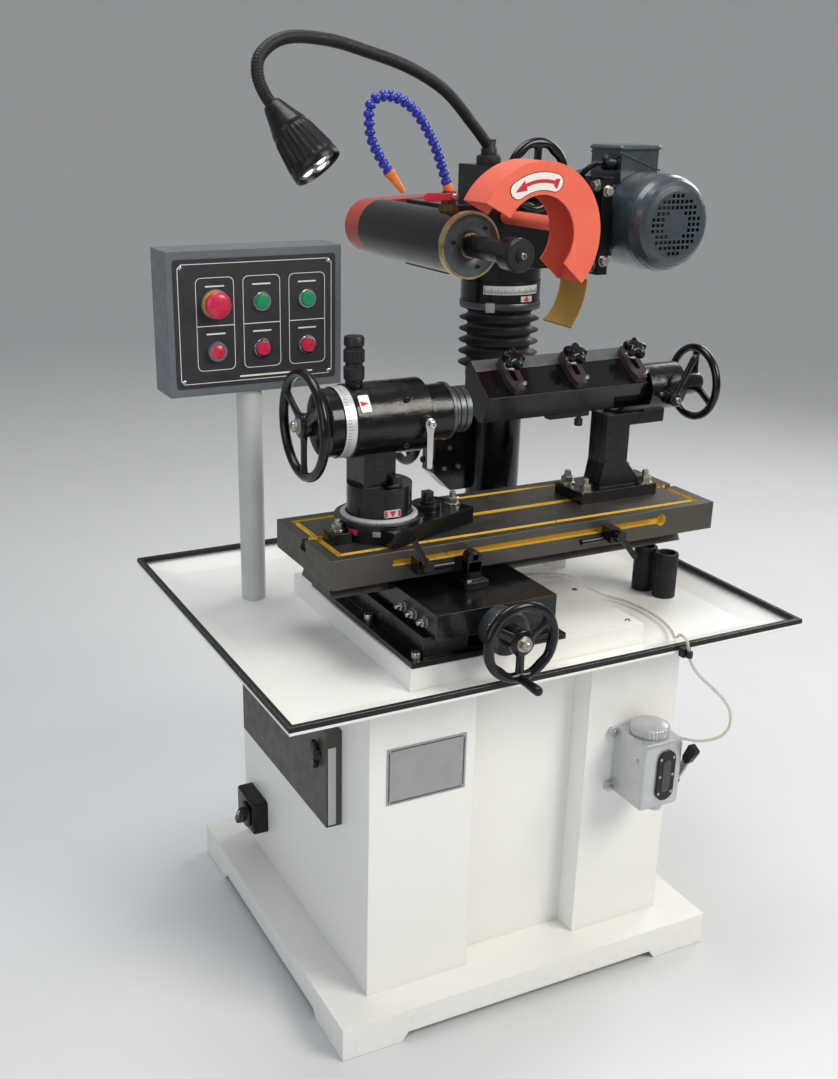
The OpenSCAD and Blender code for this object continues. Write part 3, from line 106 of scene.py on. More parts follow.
def noise(tree: Tree, where: Socket, scale: float, detail: float, rough: float = 0.5) -> Socket:
    """Height of a noise with so many features in a metre."""
    values = {"Vector": where, "Scale": scale, "Detail": detail, "Roughness": rough}
    return add(tree, "TexNoise", values).outputs[0]


def ranged(tree: Tree, value: Socket, low: float, high: float, first: float = 0.0, last: float = 1.0) -> Socket:
    """Value carried from low and high to first and last, and held there beyond them."""
    values = {"Value": value, "From Min": low, "From Max": high, "To Min": first, "To Max": last}
    return add(tree, "MapRange", values).outputs[0]


def mixed(tree: Tree, share: Socket, a: Any, b: Any) -> Socket:
    """Colour between a and b by a share of b."""
    return add(tree, "Mix", {"Factor": share, 6: a, 7: b}, data_type="RGBA").outputs[2]


def joined(tree: Tree, a: Socket, b: Socket, how: str = "MULTIPLY") -> Socket:
    """Two values joined by a product or a maximum."""
    return add(tree, "Math", {0: a, 1: b}, operation=how).outputs[0]


class Surface(Enum):
    """How a surface was made, which sets its pattern."""

    CAST = "painted sand casting, soft lumps under the paint"
    ENAMEL = "sprayed sheet steel, fine orange peel"
    GROUND = "ground steel, fine lines along one way"
    TURNED = "turned steel, fine grooves across the axis"
    HAMMER = "hammered paint, small dimples"
    MOULDED = "moulded plastic, faint grain"


@dataclass(frozen=True)
class Finish:
    """One material: colour pair, gloss and a pattern sized in millimetres.

    Each pattern is drawn no finer than about a millimetre, because a finer one doesn't show in the picture.
    """

    name: str
    colour: str
    shade: str
    look: Surface
    rough: float = 0.4
    metal: float = 0.0
    coat: float = 0.0
    grain_mm: float = 2.0
    depth_mm: float = 0.03
    blotch_mm: float = 90.0
    blotch: float = 0.5
    along: str = "X"
    clear: float = 0.0
    glow: float = 0.0
    spec: float = 0.5
    edge_mm: float = 0.0
    edge: str = ""

    def pattern(self, tree: Tree, where: Socket) -> Socket:
        """Height pattern of the surface.

        Args:
            tree: the material's nodes.
            where: coordinates in metres.
        Returns:
            Socket with a height from 0 to about 1.
        """
        scale = MM / self.grain_mm
        if self.look in (Surface.GROUND, Surface.TURNED):
            stretch = {"X": (0.03, 1, 1), "Y": (1, 0.03, 1), "Z": (1, 1, 0.03)}[self.along]
            if self.look is Surface.TURNED:
                stretch = tuple(1.0 if s < 1 else 0.04 for s in stretch)
            turned = add(tree, "Mapping", {"Vector": where, "Scale": stretch})
            return noise(tree, turned.outputs[0], scale, 5.0)
        if self.look is Surface.HAMMER:
            cells = add(tree, "TexVoronoi", {"Vector": where, "Scale": scale}, feature="SMOOTH_F1")
            return cells.outputs["Distance"]
        fine = noise(tree, where, scale, 3.0)
        if self.look is not Surface.CAST:
            return fine
        lumps = noise(tree, where, scale / 7.0, 2.0)
        return add(tree, "Math", {0: lumps, 1: 3.0, 2: fine}, operation="MULTIPLY_ADD").outputs[0]

    def tint(self, tree: Tree, where: Socket) -> tuple[Socket, Any]:
        """Base colour, two close colours mixed by a slow noise, and the share of metal.

        Args:
            tree: the material's nodes.
            where: coordinates in metres.
        Returns:
            Colour socket, and the metal share as a value or a socket.
        """
        slow = noise(tree, where, MM / self.blotch_mm, 6.0, 0.62)
        share = ranged(tree, slow, 0.42, 0.72, 0.0, self.blotch)
        return mixed(tree, share, linear(self.colour), linear(self.shade)), self.metal

    def worn(self, tree: Tree, where: Socket, soft: Socket, colour: Socket) -> Socket:
        """Wear along edges: the edge colour shows in spots where the softened normal leaves the flat one.

        Args:
            tree: the material's nodes.
            where: coordinates in metres.
            soft: normal rounded over near edges.
            colour: colour away from the edges.
        Returns:
            Colour socket.
        """
        flat = add(tree, "NewGeometry", {}).outputs["True Normal"]
        turn = add(tree, "VectorMath", {0: soft, 1: flat}, operation="DOT_PRODUCT").outputs["Value"]
        near = ranged(tree, turn, 0.97, 0.84)
        broken = ranged(tree, noise(tree, where, 60.0, 6.0, 0.7), 0.44, 0.62, 0.0, 0.75)
        return mixed(tree, joined(tree, near, broken), colour, linear(self.edge))

    def make(self) -> bpy.types.Material:
        """Builds the material once and returns it."""
        found = bpy.data.materials.get(self.name)
        if found:
            return found
        made = bpy.data.materials.new(self.name)
        made.use_nodes = True
        tree = made.node_tree
        tree.nodes.clear()
        where = add(tree, "TexCoord", {}).outputs["Object"]
        height = self.pattern(tree, where)
        bump = add(tree, "Bump", {"Height": height, "Distance": self.depth_mm / MM, "Strength": 1.0})
        colour, metal = self.tint(tree, where)
        if self.edge_mm:
            soft = add(tree, "Bevel", {"Radius": self.edge_mm / MM}, samples=EDGE_SAMPLES)
            tree.links.new(soft.outputs[0], bump.inputs["Normal"])
            colour = self.worn(tree, where, soft.outputs[0], colour)
        wear = noise(tree, where, MM / (self.blotch_mm * 0.35), 5.0)
        gloss = ranged(tree, wear, 0.3, 0.7, max(self.rough - 0.07, 0.03), self.rough + 0.1)
        skin = add(tree, "BsdfPrincipled", {
            "Base Color": colour, "Roughness": gloss, "Metallic": metal, "Specular IOR Level": self.spec,
            "Coat Weight": self.coat, "Coat Roughness": COAT_ROUGH, "Normal": bump.outputs[0],
            "Transmission Weight": self.clear,
            "Emission Color": linear(self.colour), "Emission Strength": self.glow})
        add(tree, "OutputMaterial", {"Surface": skin.outputs[0]})
        made.diffuse_color = linear(self.colour)
        return made


@dataclass(frozen=True)
class TableSteel(Finish):
    """Ground table steel with yellow paint in its gutter, T-slot and front slot, told apart by place."""

    top_mm: float = 756.0
    front_mm: float = -191.0
    skin_mm: float = 0.4
    groove_mm: float = 30.0
    slot_mm: float = 14.0
    groove_x: tuple[float, float] = (-292.0, 354.0)
    groove_y: tuple[float, float] = (-180.0, 2.0)
    slot_x: tuple[float, float] = (-212.0, 275.0)
    slot_z: tuple[float, float] = (729.0, 750.0)
    paint: str = "E4C03A"

    def tint(self, tree: Tree, where: Socket) -> tuple[Socket, Any]:
        """Steel colour, yellow below the top inside the grooves and behind the front face in its slot.

        Args:
            tree: the material's nodes.
            where: coordinates in metres.
        Returns:
            Colour socket and metal share.
        """
        steel, metal = super().tint(tree, where)
        place = add(tree, "SeparateXYZ", {0: where})

        def within(socket: Socket, low: float, high: float) -> Socket:
            """One where the value lies between two lengths in millimetres."""
            middle, half = (low + high) / 2 / MM, (high - low) / 2 / MM
            return add(tree, "Math", {0: socket, 1: middle, 2: half}, operation="COMPARE").outputs[0]

        x, y, z = place.outputs
        inner = joined(tree, within(x, *self.groove_x), within(y, *self.groove_y))
        grooves = joined(tree, inner, within(z, self.top_mm - self.groove_mm, self.top_mm - self.skin_mm))
        behind = within(y, self.front_mm + self.skin_mm, self.front_mm + self.slot_mm)
        slot = joined(tree, joined(tree, behind, within(z, *self.slot_z)), within(x, *self.slot_x))
        painted = joined(tree, grooves, slot, "MAXIMUM")
        share = joined(tree, painted, ranged(tree, noise(tree, where, 90.0, 6.0), 0.62, 0.7, 1.0, 0.35))
        return mixed(tree, share, steel, linear(self.paint)), ranged(tree, share, 0.0, 1.0, metal, 0.0)


@dataclass(frozen=True)
class Enamel(Finish):
    """White sheet enamel with grime that gathers near the floor."""

    grime: str = "B7AF9F"
    grime_top_mm: float = 70.0
    grime_share: float = 0.42

    def tint(self, tree: Tree, where: Socket) -> tuple[Socket, Any]:
        """White with a grime share that falls with height and is broken by noise.

        Args:
            tree: the material's nodes.
            where: coordinates in metres.
        Returns:
            Colour socket and metal share.
        """
        white, metal = super().tint(tree, where)
        place = add(tree, "SeparateXYZ", {0: where})
        low = ranged(tree, place.outputs[2], 0.0, self.grime_top_mm / MM, self.grime_share, 0.0)
        broken = ranged(tree, noise(tree, where, 42.0, 8.0, 0.7), 0.52, 0.78)
        return mixed(tree, joined(tree, low, broken), white, linear(self.grime)), metal


# Families of finishes with the values that most of each share
turned = partial(Finish, look=Surface.TURNED, metal=1.0, grain_mm=1.0, depth_mm=0.012)
moulded = partial(Finish, look=Surface.MOULDED, depth_mm=0.004, blotch_mm=14)
sprayed = partial(Finish, look=Surface.ENAMEL, grain_mm=2.4, depth_mm=0.02, blotch_mm=60, edge_mm=1.4)
ground = partial(Finish, look=Surface.GROUND, metal=0.7, depth_mm=0.012, blotch_mm=40)
cast = partial(Finish, look=Surface.CAST, depth_mm=0.03, blotch_mm=40)

# Finishes, each named for its stuff and how its surface was made
WHITE = Enamel(
    "white_enamel_sheet", "F0F0EC", "E6E5DE", Surface.ENAMEL, rough=0.36, coat=0.2, grain_mm=2.2, depth_mm=0.02,
    blotch_mm=420, blotch=0.3, edge_mm=2.0, edge="D2CFC6")
BLACK = cast(
    "black_gloss_casting_paint", "0B0C0E", "111214", rough=0.17, coat=0.14, grain_mm=2.8, depth_mm=0.34, blotch_mm=60,
    blotch=0.4, spec=0.34, edge_mm=1.8, edge="3A3B3D")
BLACK_SMOOTH = sprayed(
    "black_gloss_enamel", "0B0C0E", "111214", rough=0.17, coat=0.14, grain_mm=3.0, blotch_mm=70, blotch=0.4,
    spec=0.32, edge="34363A")
TABLE = TableSteel(
    "ground_table_steel", "5A5751", "46433F", Surface.GROUND, rough=0.42, metal=0.75, grain_mm=1.3, depth_mm=0.02,
    blotch_mm=70, edge_mm=1.2, edge="8E8B84")
STEEL = turned("bright_turned_steel", "B9BBBD", "8F9193", rough=0.26, blotch_mm=30)
STEEL_Y = turned("bright_turned_steel_along_y", "96918A", "7E7972", rough=0.27, blotch_mm=40, blotch=0.4, along="Y")
SPINDLE_STEEL = turned(
    "oiled_dark_turned_steel", "4A4A49", "343433", rough=0.26, blotch_mm=40, along="Y", edge_mm=0.8, edge="9A9894")
DARK_STEEL = turned("blackened_steel", "2B2C2F", "3B3B3D", rough=0.42, metal=0.6, grain_mm=1.2, blotch_mm=25)
GREY_STEEL = turned("grey_turned_steel", "5C6064", "474A4D", rough=0.38, metal=0.8, grain_mm=1.1, blotch_mm=25)
ZINC = moulded(
    "zinc_plated_steel", "B4B1A8", "8E8A80", rough=0.3, metal=1.0, grain_mm=1.2, depth_mm=0.01, blotch_mm=8)
CHROME = moulded("chromed_steel", "D3D4D6", "B9BABC", rough=0.12, metal=1.0, blotch_mm=20)
BRASS = turned("machined_brass", "CDB688", "A88F60", rough=0.3, blotch_mm=24, along="Y")
BRONZE = cast("tarnished_bronze", "6A5636", "44371F", rough=0.42, metal=0.9, grain_mm=1.2, blotch_mm=12)
ORANGE = sprayed("orange_red_guard_paint", "EA6A52", "DE5E48", coat=0.1, edge="B44A38")
RED_PAINT = sprayed("red_guard_paint", "A93A2C", "963025", rough=0.35, coat=0.2, edge="7C2A20")
SLATE = sprayed(
    "slate_grey_motor_enamel", "333F46", "2A343A", rough=0.28, coat=0.3, grain_mm=2.6, depth_mm=0.03, blotch_mm=50,
    edge_mm=1.6, edge="56636A")
HAMMERED = Finish(
    "grey_hammered_paint", "626A70", "565D63", Surface.HAMMER, rough=0.42, coat=0.15, grain_mm=4.0, depth_mm=0.12,
    blotch_mm=40, edge_mm=2.0, edge="868E94")
POST_GREY = sprayed(
    "light_grey_tube_paint", "C3C6C4", "B4B7B4", rough=0.36, coat=0.2, grain_mm=2.2, depth_mm=0.015, blotch_mm=80,
    edge_mm=0.0)
DOOR_GREY = sprayed(
    "dark_grey_door_paint", "46423C", "3A3732", rough=0.45, grain_mm=2.0, depth_mm=0.03, edge="6B665D")
PANEL = moulded("black_panel_laminate", "282B2F", "303337", rough=0.42, grain_mm=1.2, depth_mm=0.01, blotch_mm=40)
PLASTIC = moulded(
    "black_moulded_plastic", "0E0F11", "151618", rough=0.32, grain_mm=1.2, depth_mm=0.012, blotch_mm=20, spec=0.35)
RUBBER = moulded("black_rubber", "151618", "1E1F21", rough=0.5, grain_mm=1.4, depth_mm=0.03, blotch_mm=35, spec=0.35)
BELLOWS = moulded(
    "dark_grey_folded_rubber", "25282B", "1D1F21", rough=0.46, grain_mm=1.5, depth_mm=0.03, blotch_mm=40, spec=0.28)
RED_BUTTON = moulded("red_button_plastic", "C8264A", "B82242", rough=0.3, coat=0.2, blotch=0.3)
GREEN_BUTTON = moulded("green_button_plastic", "12905A", "0F8452", rough=0.3, coat=0.2, blotch=0.3)
BLUE_HOSE = moulded("blue_link_plastic", "1B2AA0", "152183", rough=0.28, coat=0.25, depth_mm=0.006)
ORANGE_TIP = moulded("orange_nozzle_plastic", "E8772E", "D2661F", rough=0.35, depth_mm=0.006)
PUMP_METAL = cast("silver_painted_die_casting", "C2C5C7", "AEB1B4", rough=0.33, metal=0.55, coat=0.2, grain_mm=1.4)
CLAMP_STEEL = moulded("browned_clamp_steel", "4B3C40", "382C30", metal=0.5, grain_mm=1.4, depth_mm=0.03, blotch_mm=16)
GROUND_STRIP = ground("ground_grey_strip", "7E8284", "6A6D6F", rough=0.35, metal=0.8, grain_mm=1.1, depth_mm=0.01)
SCALE_WHITE = moulded("etched_scale_aluminium", "D7D9D9", "C3C5C5", rough=0.35, metal=0.4, blotch_mm=20)
SCALE_STEEL = turned(
    "satin_scale_steel", "CDCFCF", "B6B8B8", metal=0.3, grain_mm=1.1, depth_mm=0.01, blotch_mm=18, along="Z")
MARK_BLACK = moulded("black_mark_paint", "1C1C1E", "262628", rough=0.5, depth_mm=0.003, blotch_mm=10)
MARK_RED = moulded("red_mark_paint", "C4203A", "AE1B32", rough=0.45, depth_mm=0.003, blotch_mm=10)
MARK_WHITE = moulded("white_mark_paint", "E9E6E0", "DAD7D0", rough=0.45, depth_mm=0.003)
FLAP = moulded("tan_splash_rubber", "A5843C", "8A6C2E", rough=0.5, grain_mm=3.0, depth_mm=0.06, blotch_mm=18)
TUBE = moulded("clear_oil_tube", "E9E4D2", "DCD5BF", rough=0.18, depth_mm=0.003, blotch_mm=30, clear=0.55)
PLATE = ground("brushed_aluminium_plate", "A5A6A5", "949595", rough=0.36, grain_mm=1.2, blotch_mm=50)
LED_WHITE = moulded("lit_lamp_lens", "F4F3EE", "E6E4DC", rough=0.2, depth_mm=0.003, blotch_mm=10, glow=1.6)
LENS = moulded("pale_lamp_reflector", "B9BBBC", "9A9C9D", rough=0.22, metal=0.7, depth_mm=0.01, blotch_mm=8)
YELLOW = moulded("yellow_collar_plastic", "D8B12A", "C79F1E", rough=0.35)
SIGHT = moulded("dark_sight_glass", "20180F", "33261A", rough=0.12, coat=0.6, depth_mm=0.003, blotch_mm=12)


def unit(v: Any) -> Arr:
    """Vectors scaled to length one along the last axis."""
    v = np.asarray(v, float)
    return v / np.linalg.norm(v, axis=-1, keepdims=True)


def across(axis: Any) -> tuple[Arr, Arr]:
    """Two unit vectors square to an axis and to each other.

    Args:
        axis: direction.
    Returns:
        First and second side vector, right-handed with the axis.
    """
    a = unit(axis)
    side = unit(np.cross(Z if abs(a[2]) < 0.9 else X, a))
    return side, np.cross(a, side)


def circle(n: int) -> Arr:
    """Angles of n points spread evenly round a circle."""
    return np.linspace(0, math.tau, n, endpoint=False)


def spread(a: Any, e1: Arr, e2: Arr) -> Arr:
    """Unit vectors at angles in radians, from e1 towards e2."""
    return np.cos(a)[..., None] * e1 + np.sin(a)[..., None] * e2


def arc(r: float, start: float, end: float, n: int) -> Arr:
    """Points (n, 2) on a circle about zero, between two angles in degrees."""
    a = np.radians(np.linspace(start, end, n))
    return r * np.stack([np.cos(a), np.sin(a)], -1)


def dome(foot: float, tall: float, radius: float, end: float) -> list[Point]:
    """Profile of a domed end up to an angle in degrees, as pairs of height and radius."""
    a = np.radians(np.linspace(0, end, 8))
    return [*zip(foot + tall * np.sin(a), radius * np.cos(a))]


def rounded(w: float, h: float, r: float, n: int = 6) -> Arr:
    """Outline of a rectangle with round corners, as quarter circles about four centres.

    Args:
        w: width.
        h: height.
        r: corner radius.
        n: points in each corner.
    Returns:
        Points (4n, 2), anticlockwise about the middle.
    """
    a = np.linspace(0, math.pi / 2, n)
    turn = np.concatenate([a + k * math.pi / 2 for k in range(4)])
    sx = np.repeat([1, -1, -1, 1], n)
    sy = np.repeat([1, 1, -1, -1], n)
    return np.stack([sx * (w / 2 - r) + r * np.cos(turn), sy * (h / 2 - r) + r * np.sin(turn)], -1)


def ngon(r: float, n: int, turn: float = 0.0) -> Arr:
    """Regular outline: n points on a circle of radius r, first at an angle in degrees."""
    a = circle(n) + math.radians(turn)
    return np.stack([r * np.cos(a), r * np.sin(a)], -1)


def smooth_path(points: Sequence[Point], n: int) -> Arr:
    """Cubic through given points: Hermite pieces with central tangents, spaced evenly by length.

    Args:
        points: route points.
        n: points wanted.
    Returns:
        Points (n, 3).
    """
    p = np.asarray(points, float)
    m = np.gradient(p, axis=0)
    t = np.linspace(0, len(p) - 1, 40 * len(p))
    i = np.minimum(t.astype(int), len(p) - 2)
    f = (t - i)[:, None]
    q = (
        (2 * f**3 - 3 * f**2 + 1) * p[i] + (f**3 - 2 * f**2 + f) * m[i]
        + (3 * f**2 - 2 * f**3) * p[i + 1] + (f**3 - f**2) * m[i + 1])
    s = np.concatenate([[0], np.cumsum(np.linalg.norm(np.diff(q, axis=0), axis=1))])
    at = np.linspace(0, s[-1], n)
    return np.stack([np.interp(at, s, q[:, k]) for k in range(3)], -1)


class Shape:
    """Surfaces gathered into one mesh, in millimetres."""

    def __init__(self) -> None:
        """Starts with no surface."""
        self.points: list[Arr] = []
        self.faces: list[list[int]] = []
        self.finish: list[int] = []
        self.count = 0

    def put(self, points: Arr, faces: list[list[int]], finish: int = 0) -> None:
        """Adds points and faces that count from zero."""
        self.faces += [[i + self.count for i in f] for f in faces]
        self.finish += [finish] * len(faces)
        self.points.append(np.asarray(points, float).reshape(-1, 3))
        self.count += len(self.points[-1])

    def sheet(
            self, grid: Arr, finish: int = 0, loop_u: bool = False, loop_v: bool = False, caps: bool = False) -> None:
        """Quads between neighbours of a (U, V) grid of points.

        Args:
            grid: points (U, V, 3).
            finish: number of the finish.
            loop_u: joins the last row to the first.
            loop_v: joins the last column to the first.
            caps: closes the first and last row with one face each.
        """
        u, v = grid.shape[:2]
        i = np.arange(u if loop_u else u - 1)[:, None]
        j = np.arange(v if loop_v else v - 1)[None, :]
        i2, j2 = (i + 1) % u, (j + 1) % v
        quads = np.stack(
            np.broadcast_arrays(i * v + j, i2 * v + j, i2 * v + j2, i * v + j2), -1).reshape(-1, 4).tolist()
        if caps:
            quads += [list(range(v))[::-1], list(range((u - 1) * v, u * v))]
        self.put(grid, quads, finish)

    def lathe(
            self, profile: Sequence[Point], origin: Point, axis: Any = Z, finish: int = 0, n: int = 48,
            loop: bool = False) -> None:
        """Turned form: a ring of radius r at each height h along the axis.

        Args:
            profile: pairs of height and radius.
            origin: point with height 0.
            axis: direction of the height.
            finish: number of the finish.
            n: points in each ring.
            loop: joins the last ring to the first, for a hollow ring.
        """
        h, r = np.asarray(profile, float).T
        ring = spread(circle(n), *across(axis))
        grid = np.asarray(origin, float) + h[:, None, None] * unit(axis) + r[:, None, None] * ring
        self.sheet(grid, finish, loop_u=loop, loop_v=True, caps=not loop)

    def tube(
            self, path: Arr, radius: Any, finish: int = 0, n: int = 12, ref: Any = (0.31, 0.12, 0.94),
            flat: float = 1.0) -> None:
        """Round or oval section carried along a path, square to its heading.

        Args:
            path: points (m, 3).
            radius: one radius, or one for each point.
            finish: number of the finish.
            n: points in each section.
            ref: direction that sets where the section starts.
            flat: second radius as a share of the first.
        """
        path = np.asarray(path, float)
        head = unit(np.gradient(path, axis=0))
        e1 = unit(np.cross(head, np.asarray(ref, float)))
        e2 = np.cross(head, e1)
        a = circle(n)
        r = np.broadcast_to(np.asarray(radius, float), (len(path),))[:, None, None]
        grid = path[:, None] + r * (np.cos(a)[:, None] * e1[:, None] + flat * np.sin(a)[:, None] * e2[:, None])
        self.sheet(grid, finish, loop_v=True, caps=True)

    def loft(self, outline: Arr, origin: Point, ex: Any, ey: Any, rows: Sequence[Point], finish: int = 0) -> None:
        """Outline in the plane of ex and ey, carried along their normal and resized from row to row.

        Args:
            outline: points (n, 2).
            origin: where the outline's zero lies.
            ex: direction of the first coordinate.
            ey: direction of the second coordinate.
            rows: pairs of place along the normal and size as a share.
            finish: number of the finish.
        """
        ex, ey = unit(ex), unit(ey)
        flat = outline[:, :1] * ex + outline[:, 1:] * ey
        grid = np.asarray(origin, float) + np.stack([size * flat + high * np.cross(ex, ey) for high, size in rows])
        self.sheet(grid, finish, loop_v=True, caps=True)

    def prism(
            self, outline: Arr, origin: Point, ex: Any, ey: Any, low: float, high: float, finish: int = 0,
            shrink: float = 1.0) -> None:
        """Outline in the plane of ex and ey, carried along their normal from low to high.

        Args:
            outline: points (n, 2).
            origin: where the outline's zero lies.
            ex: direction of the first coordinate.
            ey: direction of the second coordinate.
            low: start along the normal.
            high: end along the normal.
            finish: number of the finish.
            shrink: size of the far outline as a share of the near one.
        """
        self.loft(outline, origin, ex, ey, [(low, 1.0), (high, shrink)], finish)

    def block(self, low: Point, high: Point, finish: int = 0, round_mm: float = 0.0) -> None:
        """Box between two corners, with round upright edges where a radius is given."""
        lo, hi = np.asarray(low, float), np.asarray(high, float)
        size = hi - lo
        outline = rounded(size[0], size[1], max(round_mm, 0.01), 5 if round_mm else 2)
        self.prism(outline, (lo + hi) / 2 - Z * size[2] / 2, X, Y, 0.0, size[2], finish)

    def make(
            self, name: str, body: str, finishes: Sequence[Finish], replaces: Sequence[str] = (), bevel: float = 0.0,
            sharp: float = 38.0, slot: str = "") -> bpy.types.Object:
        """Turns the surfaces into one object that rides on a body.

        Args:
            name: object name.
            body: body that carries it, or none for a piece on no body.
            finishes: finishes by number.
            replaces: solids that it stands for.
            bevel: width of softened edges.
            sharp: edges past this angle in degrees stay sharp.
            slot: not used.
        Returns:
            The object.
        """
        mesh = bpy.data.meshes.new(name)
        mesh.from_pydata((np.concatenate(self.points) / MM).tolist(), [], self.faces)
        mesh.polygons.foreach_set("material_index", np.array(self.finish, np.int32))
        work = bmesh.new()
        work.from_mesh(mesh)
        bmesh.ops.remove_doubles(work, verts=work.verts, dist=MERGE_M)
        bmesh.ops.recalc_face_normals(work, faces=work.faces)
        work.to_mesh(mesh)
        work.free()
        for finish in finishes:
            mesh.materials.append(finish.make())
        mesh.shade_smooth()
        mesh.set_sharp_from_angle(angle=math.radians(sharp))
        made = bpy.data.objects.new(name, mesh)
        bpy.context.scene.collection.objects.link(made)
        if bevel:
            soft = made.modifiers.new("soft_edges", "BEVEL")
            soft.width, soft.segments, soft.limit_method = bevel / MM, 2, "ANGLE"
            soft.angle_limit = math.radians(BEVEL_ANGLE)
        if body:
            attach(made, body)
        if replaces:
            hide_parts(*replaces)
        LOG.info("%s on %s: %d faces", name, body, len(mesh.polygons))
        return made


class Head(Enum):
    """Kinds of bolt head."""

    SOCKET = "socket"
    HEX = "hex"
    SQUARE = "square"
    PAN = "pan"


def bolt(
        shape: Shape, at: Point, axis: Any, size: float, kind: Head = Head.SOCKET, finish: int = 0,
        rise: float = 0.0) -> None:
    """One fastener head on a face: a turned head with a sunk key hole, or a prism with a stud over it.

    Args:
        shape: takes the surfaces.
        at: point on the face.
        axis: direction out of the face.
        size: thread diameter.
        kind: head form.
        finish: number of the finish.
        rise: length of stud that shows above a nut.
    """
    at, e = np.asarray(at, float), across(axis)
    sides, wide = (6, .98) if kind is Head.HEX else (4, 1.05)
    if kind is Head.SOCKET:
        shape.lathe(size * np.array([(0, .8), (.85, .8), (1, .7), (1, .45), (.45, .42)]), at, axis, finish, 18)
    elif kind is Head.PAN:
        shape.lathe(size * np.array([(0, .9), (.2, .88), (.45, .6), (.52, .2)]), at, axis, finish, 18)
    else:
        shape.lathe(size * np.array([(0, 1.15), (.18, 1.15), (.22, 1.1)]), at, axis, finish, 20)
        shape.prism(ngon(wide * size, sides, 12), at, *e, .2 * size, size, finish)
        shape.prism(ngon(wide * size, sides, 12), at, *e, size, 1.1 * size, finish, .88)
        if rise:
            top = size + rise
            stud = [(size, .5 * size), (top - .1 * size, .5 * size), (top, .4 * size)]
            shape.lathe(stud, at, axis, finish, 16)


def bolt_row(shape: Shape, places: Iterable[Point], *form: Any) -> None:
    """Like fasteners at several points.

    Args:
        shape: takes the surfaces.
        places: points on the face.
        form: what bolt takes after the point.
    """
    for at in places:
        bolt(shape, at, *form)


def scale_marks(
        shape: Shape, centre: Point, axis: Any, radius: float, start: float, end: float, count: int, low: float,
        length: float, finish: int, long_every: int = 5, width: float = 0.7) -> None:
    """Thin raised marks on a ring: small blocks at even angles, each fifth longer.

    Args:
        shape: takes the surfaces.
        centre: centre of the ring.
        axis: ring axis.
        radius: ring radius.
        start: first angle in degrees.
        end: last angle in degrees.
        count: number of marks.
        low: place of the mark's foot along the axis.
        length: mark length along the axis.
        finish: number of the finish.
        long_every: each mark of this count is longer.
        width: mark width.
    """
    e1, e2 = (X, Y) if abs(unit(axis)[2]) > 0.9 else across(axis)
    a = np.radians(np.linspace(start, end, count))
    out, side = spread(a, e1, e2), spread(a, e2, -e1)
    tall = np.where(np.arange(count) % long_every == 0, 1.0, 0.6) * length
    corner = np.array([[i, j, k] for i in (0, 1) for j in (-.5, .5) for k in (0, 1)], float)
    face = np.asarray(centre, float) + (radius - .3 + .5 * corner[None, :, :1]) * out[:, None]
    along = (low + corner[None, :, 2:] * tall[:, None, None]) * unit(axis)
    pts = face + width * corner[None, :, 1:2] * side[:, None] + along
    one = np.array([[4, 6, 7, 5], [0, 1, 3, 2], [0, 4, 5, 1], [2, 3, 7, 6], [1, 5, 7, 3], [0, 2, 6, 4]])
    shape.put(pts.reshape(-1, 3), (one[None] + 8 * np.arange(count)[:, None, None]).reshape(-1, 4).tolist(), finish)


def resample(outline: Arr, n: int, start: float = 0.0) -> Arr:
    """Outline with n points spread evenly by length, begun at the point nearest an angle.

    Args:
        outline: closed outline (m, 2).
        n: points wanted.
        start: angle of the first point in degrees.
    Returns:
        Points (n, 2).
    """
    away = np.abs(np.angle(np.exp(1j * (np.arctan2(outline[:, 1], outline[:, 0]) - math.radians(start)))))
    p = np.roll(outline, -int(np.argmin(away)), axis=0)
    p = np.vstack([p, p[:1]])
    s = np.concatenate([[0], np.cumsum(np.linalg.norm(np.diff(p, axis=0), axis=1))])
    at = np.linspace(0, s[-1], n, endpoint=False)
    return np.stack([np.interp(at, s, p[:, k]) for k in range(2)], -1)


def plate_with_hole(
        shape: Shape, outer: Arr, inner: Arr, origin: Point, ex: Any, ey: Any, low: float, high: float,
        finish: int = 0, n: int = 72) -> None:
    """Flat ring between two outlines: four rows of points, outer and inner at both heights, joined in a loop.

    Args:
        shape: takes the surfaces.
        outer: outer outline.
        inner: outline of the hole.
        origin: where the outlines' zero lies.
        ex: direction of the first coordinate.
        ey: direction of the second coordinate.
        low: start along the normal.
        high: end along the normal.
        finish: number of the finish.
        n: points in each row.
    """
    ex, ey = unit(ex), unit(ey)
    up = np.cross(ex, ey)
    rows = [(resample(o, n), h) for o, h in ((outer, low), (outer, high), (inner, high), (inner, low))]
    grid = np.stack([np.asarray(origin, float) + o[:, :1] * ex + o[:, 1:] * ey + h * up for o, h in rows])
    shape.sheet(grid, finish, loop_u=True, loop_v=True)


def arc_strip(
        shape: Shape, centre: Point, axis: Any, radius: float, start: float, end: float, low: float, high: float,
        thick: float, finish: int = 0) -> None:
    """Curved strip on a round face: four rows of points on two radii, joined in a loop and closed at both ends.

    Args:
        shape: takes the surface.
        centre: centre of the round face.
        axis: its axis.
        radius: its radius.
        start: first angle in degrees.
        end: last angle in degrees.
        low: lower edge along the axis.
        high: upper edge along the axis.
        thick: thickness of the strip.
        finish: number of the finish.
    """
    e1, e2 = (X, Y) if abs(unit(axis)[2]) > 0.9 else across(axis)
    a = np.radians(np.linspace(start, end, 40))
    out = spread(a, e1, e2)
    rows = np.array([(radius - 1, low), (radius + thick, low), (radius + thick, high), (radius - 1, high)])
    grid = np.asarray(centre, float) + rows[None, :, :1] * out[:, None] + rows[None, :, 1:] * unit(axis)
    shape.sheet(grid, finish, loop_v=True, caps=True)


